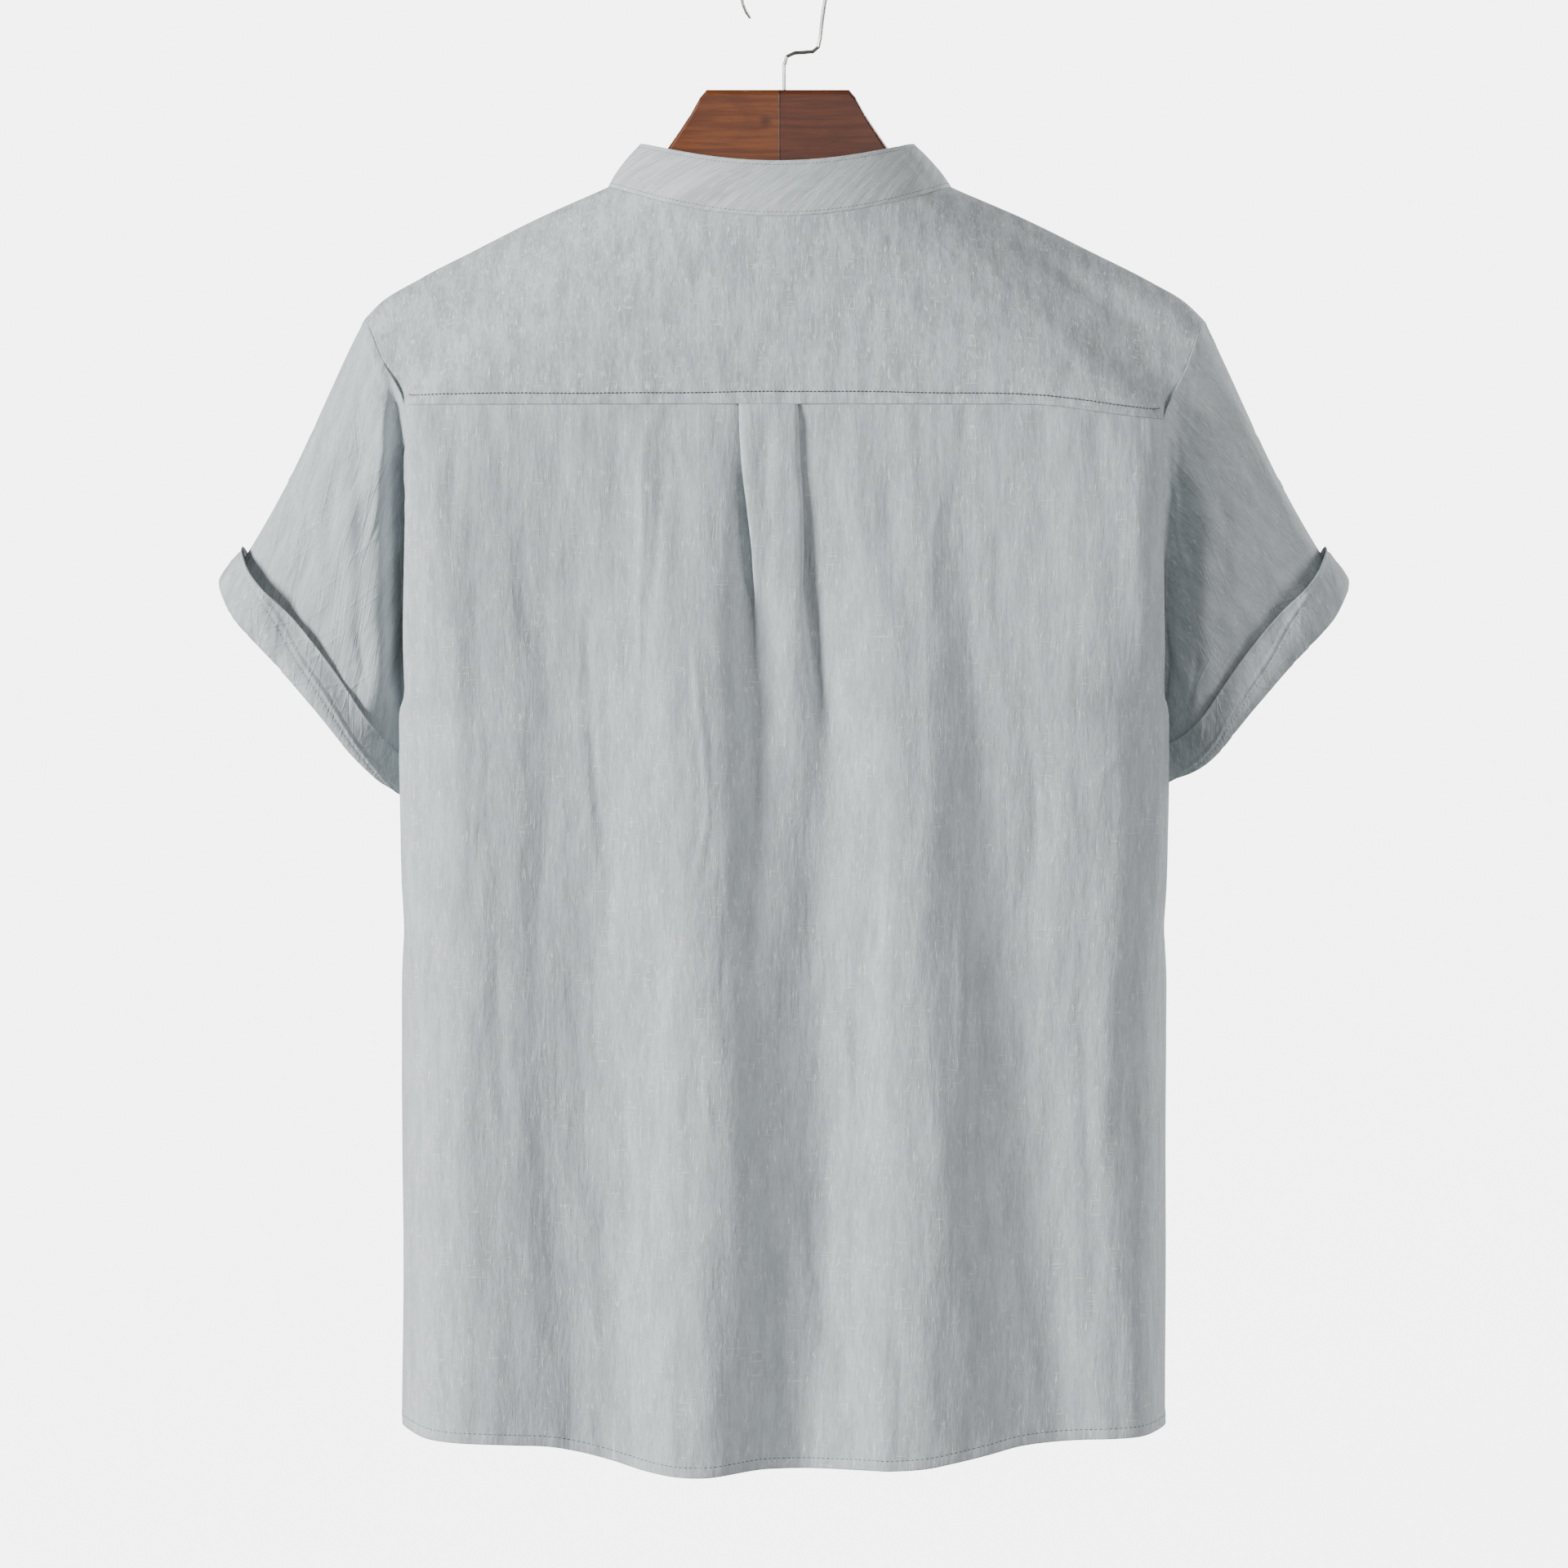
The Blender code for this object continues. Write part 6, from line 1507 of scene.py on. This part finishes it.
# A button's turned outline, as shares of its radius and thickness, from its back to its face.
BUTTON_PROFILE = ((0.70, 0.0), (0.86, 0.08), (0.96, 0.26), (1.0, 0.48), (0.985, 0.72),
                  (0.94, 0.90), (0.86, 1.0), (0.78, 0.98), (0.71, 0.86), (0.66, 0.74), (0.60, 0.70))
HOLE_RADIUS, HOLE_PLACE = 0.85, 1.35     # of the four holes, and how far they are from the middle
BUTTON_SIDES, HOLE_SIDES = 40, 12
FORWARD = np.array((0.0, -1.0, 0.0))
TIE_SPREAD, TIE_OVER = 0.26, 0.35        # between a tie's strands, and past the holes' middles
BUTTONHOLE, BUTTONHOLE_RISE, BUTTONHOLE_STITCH = 14.0, 2.5, 0.55   # its length, start and pitch


def make_button(number):
    """A four-hole button with a rounded rim, sewn on with two pairs of thread bars."""
    z = BUTTON_TOP - BUTTON_PITCH * number
    face = min(front_centre_y(z + BUTTON_RADIUS), front_centre_y(z - BUTTON_RADIUS))
    face -= 1.5 * CLOTH + LAP_GAP + SEAM_GAP
    turn = np.arange(BUTTON_SIDES) * 2 * math.pi / BUTTON_SIDES
    small = -np.arange(HOLE_SIDES) * 2 * math.pi / HOLE_SIDES
    vertices, faces = [], []

    def ring(radius, height, angles, centre=(0.0, 0.0)):
        start = len(vertices)
        vertices.extend((NECK_X + centre[0] + radius * math.cos(a), face - BUTTON_THICK * height,
                         z + centre[1] + radius * math.sin(a)) for a in angles)
        return list(range(start, len(vertices)))

    def band(first, second):
        for i in range(len(first)):
            j = (i + 1) % len(first)
            faces.append((first[i], first[j], second[j], second[i]))

    rims = [ring(BUTTON_RADIUS * radius, height, turn) for radius, height in BUTTON_PROFILE]
    for first, second in zip(rims, rims[1:]):
        band(first, second)
    centres = [(HOLE_PLACE * sx, HOLE_PLACE * sz) for sx in (-1, 1) for sz in (-1, 1)]
    ends = {}
    for height, rim in ((BUTTON_PROFILE[0][1], rims[0]), (BUTTON_PROFILE[-1][1], rims[-1])):
        ends[height] = [ring(HOLE_RADIUS, height, small, centre) for centre in centres]
        loops = [rim] + ends[height]
        order = [i for loop in loops for i in loop]
        triangles = tessellate_polygon(
            [[Vector((vertices[i][0], vertices[i][2], 0.0)) for i in loop] for loop in loops])
        faces.extend(tuple(order[i] for i in triangle) for triangle in triangles)
    for low, high in zip(*ends.values()):
        band(low, high)
    name = "button_%d" % (number + 1)
    button = new_object(name + "_pearl", vertices, faces, finish_pearl)
    made = bmesh.new()
    made.from_mesh(button.data)
    bmesh.ops.recalc_face_normals(made, faces=made.faces)
    made.to_mesh(button.data)
    made.free()
    button.data.set_sharp_from_angle(angle=math.radians(50))
    dressed(button, name)
    ties = Stitches()
    level = face - BUTTON_THICK * BUTTON_PROFILE[-1][1]
    for sx in (-1, 1):
        for strand in (-TIE_SPREAD, 0.0, TIE_SPREAD):
            start, end = (np.array((NECK_X + sx * HOLE_PLACE + strand, level + TIE_OVER,
                                    z + way * (HOLE_PLACE + TIE_OVER))) for way in (-1, 1))
            ties.one(start, end, FORWARD, 0.17, sink=-0.42)
    dressed(ties.make(name + "_thread", finish_tie))


def make_buttonholes():
    """Worked buttonholes up and down the band, each under its button and a little below it."""
    sewing = Stitches()

    def across(left, right, height, thick):
        y = front_centre_y(height) - 1.5 * CLOTH - LAP_GAP - 0.02
        sewing.one(np.array((NECK_X + left, y, height)), np.array((NECK_X + right, y, height)),
                   FORWARD, thick, sink=0.1)

    for number in range(BUTTONS):
        top = BUTTON_TOP - BUTTON_PITCH * number + BUTTONHOLE_RISE
        for step in np.arange(0.0, BUTTONHOLE, BUTTONHOLE_STITCH):
            for side in (-1, 1):
                across(side * 0.25, side * 1.35, top - step, 0.2)
        for height in (top + 0.3, top - BUTTONHOLE - 0.1):
            across(-1.4, 1.4, height, 0.3)
    dressed(sewing.make("buttonholes", finish_tie))


make_joint()
make_buttonholes()
for number in range(BUTTONS):
    make_button(number)

for node, finish in (
        ("hanger_left", stained_wood("wood_left", (0.098, 0.024, 0.005), (0.165, 0.045, 0.009),
                                     (0.0108, 0.0065, -0.101))),
        ("hanger_right", stained_wood("wood_right", (0.060, 0.013, 0.004), (0.098, 0.023, 0.006),
                                      (-0.05, -0.016, -0.13))),
        ("hook", wire_metal("hook_wire"))):
    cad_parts[node].data.materials.clear()
    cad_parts[node].data.materials.append(finish)

# ------------------------------------------------------------------ the room, camera and light
# All in metres: a round floor that curves up into the wall of the room.
FLOOR_Z, FLOOR_REACH, BEND, ROOM_SIDES = -1.6, 5.0, 3.0, 64
rings = [(reach, FLOOR_Z) for reach in (1.0, 2.5, 4.0, FLOOR_REACH)]
rings += [(FLOOR_REACH + BEND * math.sin(a), FLOOR_Z + BEND - BEND * math.cos(a))
          for a in np.radians([15, 30, 45, 60, 75, 90])]
rings += [(FLOOR_REACH + BEND, height) for height in (6.0, 9.0)]
turns = [2 * math.pi * i / ROOM_SIDES for i in range(ROOM_SIDES)]
room = [(reach * math.cos(turn), reach * math.sin(turn), height)
        for reach, height in rings for turn in turns]
room_faces = [tuple(range(ROOM_SIDES))]
for ring in range(0, len(room) - ROOM_SIDES, ROOM_SIDES):
    for i in range(ROOM_SIDES):
        j = (i + 1) % ROOM_SIDES
        room_faces.append((ring + i, ring + j, ring + ROOM_SIDES + j, ring + ROOM_SIDES + i))
paper = Shader("studio_paper", 0.9, Emission_Color=(0.94, 0.95, 0.95, 1.0), Emission_Strength=5.5)
paper.colour((0.80, 0.81, 0.81))
backdrop = new_object("backdrop", np.array(room) / MM, room_faces, paper.material)
backdrop.visible_diffuse = False
backdrop.visible_shadow = False
backdrop.visible_glossy = False

world = bpy.data.worlds.new("room")
bpy.context.scene.world = world
world.use_nodes = True
world.node_tree.nodes["Background"].inputs[0].default_value = (1.0, 1.0, 1.0, 1.0)
world.node_tree.nodes["Background"].inputs[1].default_value = 0.12


SHIRT_MIDDLE = Vector((0.0, 0.0, -0.5))
for name, place, size, power in (("key", (5.9, 2.8, 0.7), 1.9, 1020.0),
                                 ("fill", (-0.8, 3.9, 0.3), 2.4, 30.0),
                                 ("side_fill", (-3.6, 1.7, -0.1), 2.0, 86.0),
                                 ("front_key", (-2.6, -2.6, 1.0), 1.8, 150.0)):
    data = bpy.data.lights.new(name, "AREA")
    data.shape, data.size, data.energy = "DISK", size, power
    lamp = bpy.data.objects.new(name, data)
    lamp.location = place
    lamp.rotation_euler = (SHIRT_MIDDLE - Vector(place)).to_track_quat("-Z", "Y").to_euler()
    bpy.context.scene.collection.objects.link(lamp)

data = bpy.data.cameras.new("camera")
camera = bpy.data.objects.new("camera", data)
bpy.context.scene.collection.objects.link(camera)
data.sensor_width = SENSOR
data.lens = SENSOR * CAMERA_AWAY / VIEW_WIDTH
camera.location = (0.0, CAMERA_AWAY, VIEW_MIDDLE)
camera.rotation_euler = (math.radians(90), 0.0, math.radians(180))
bpy.context.scene.camera = camera
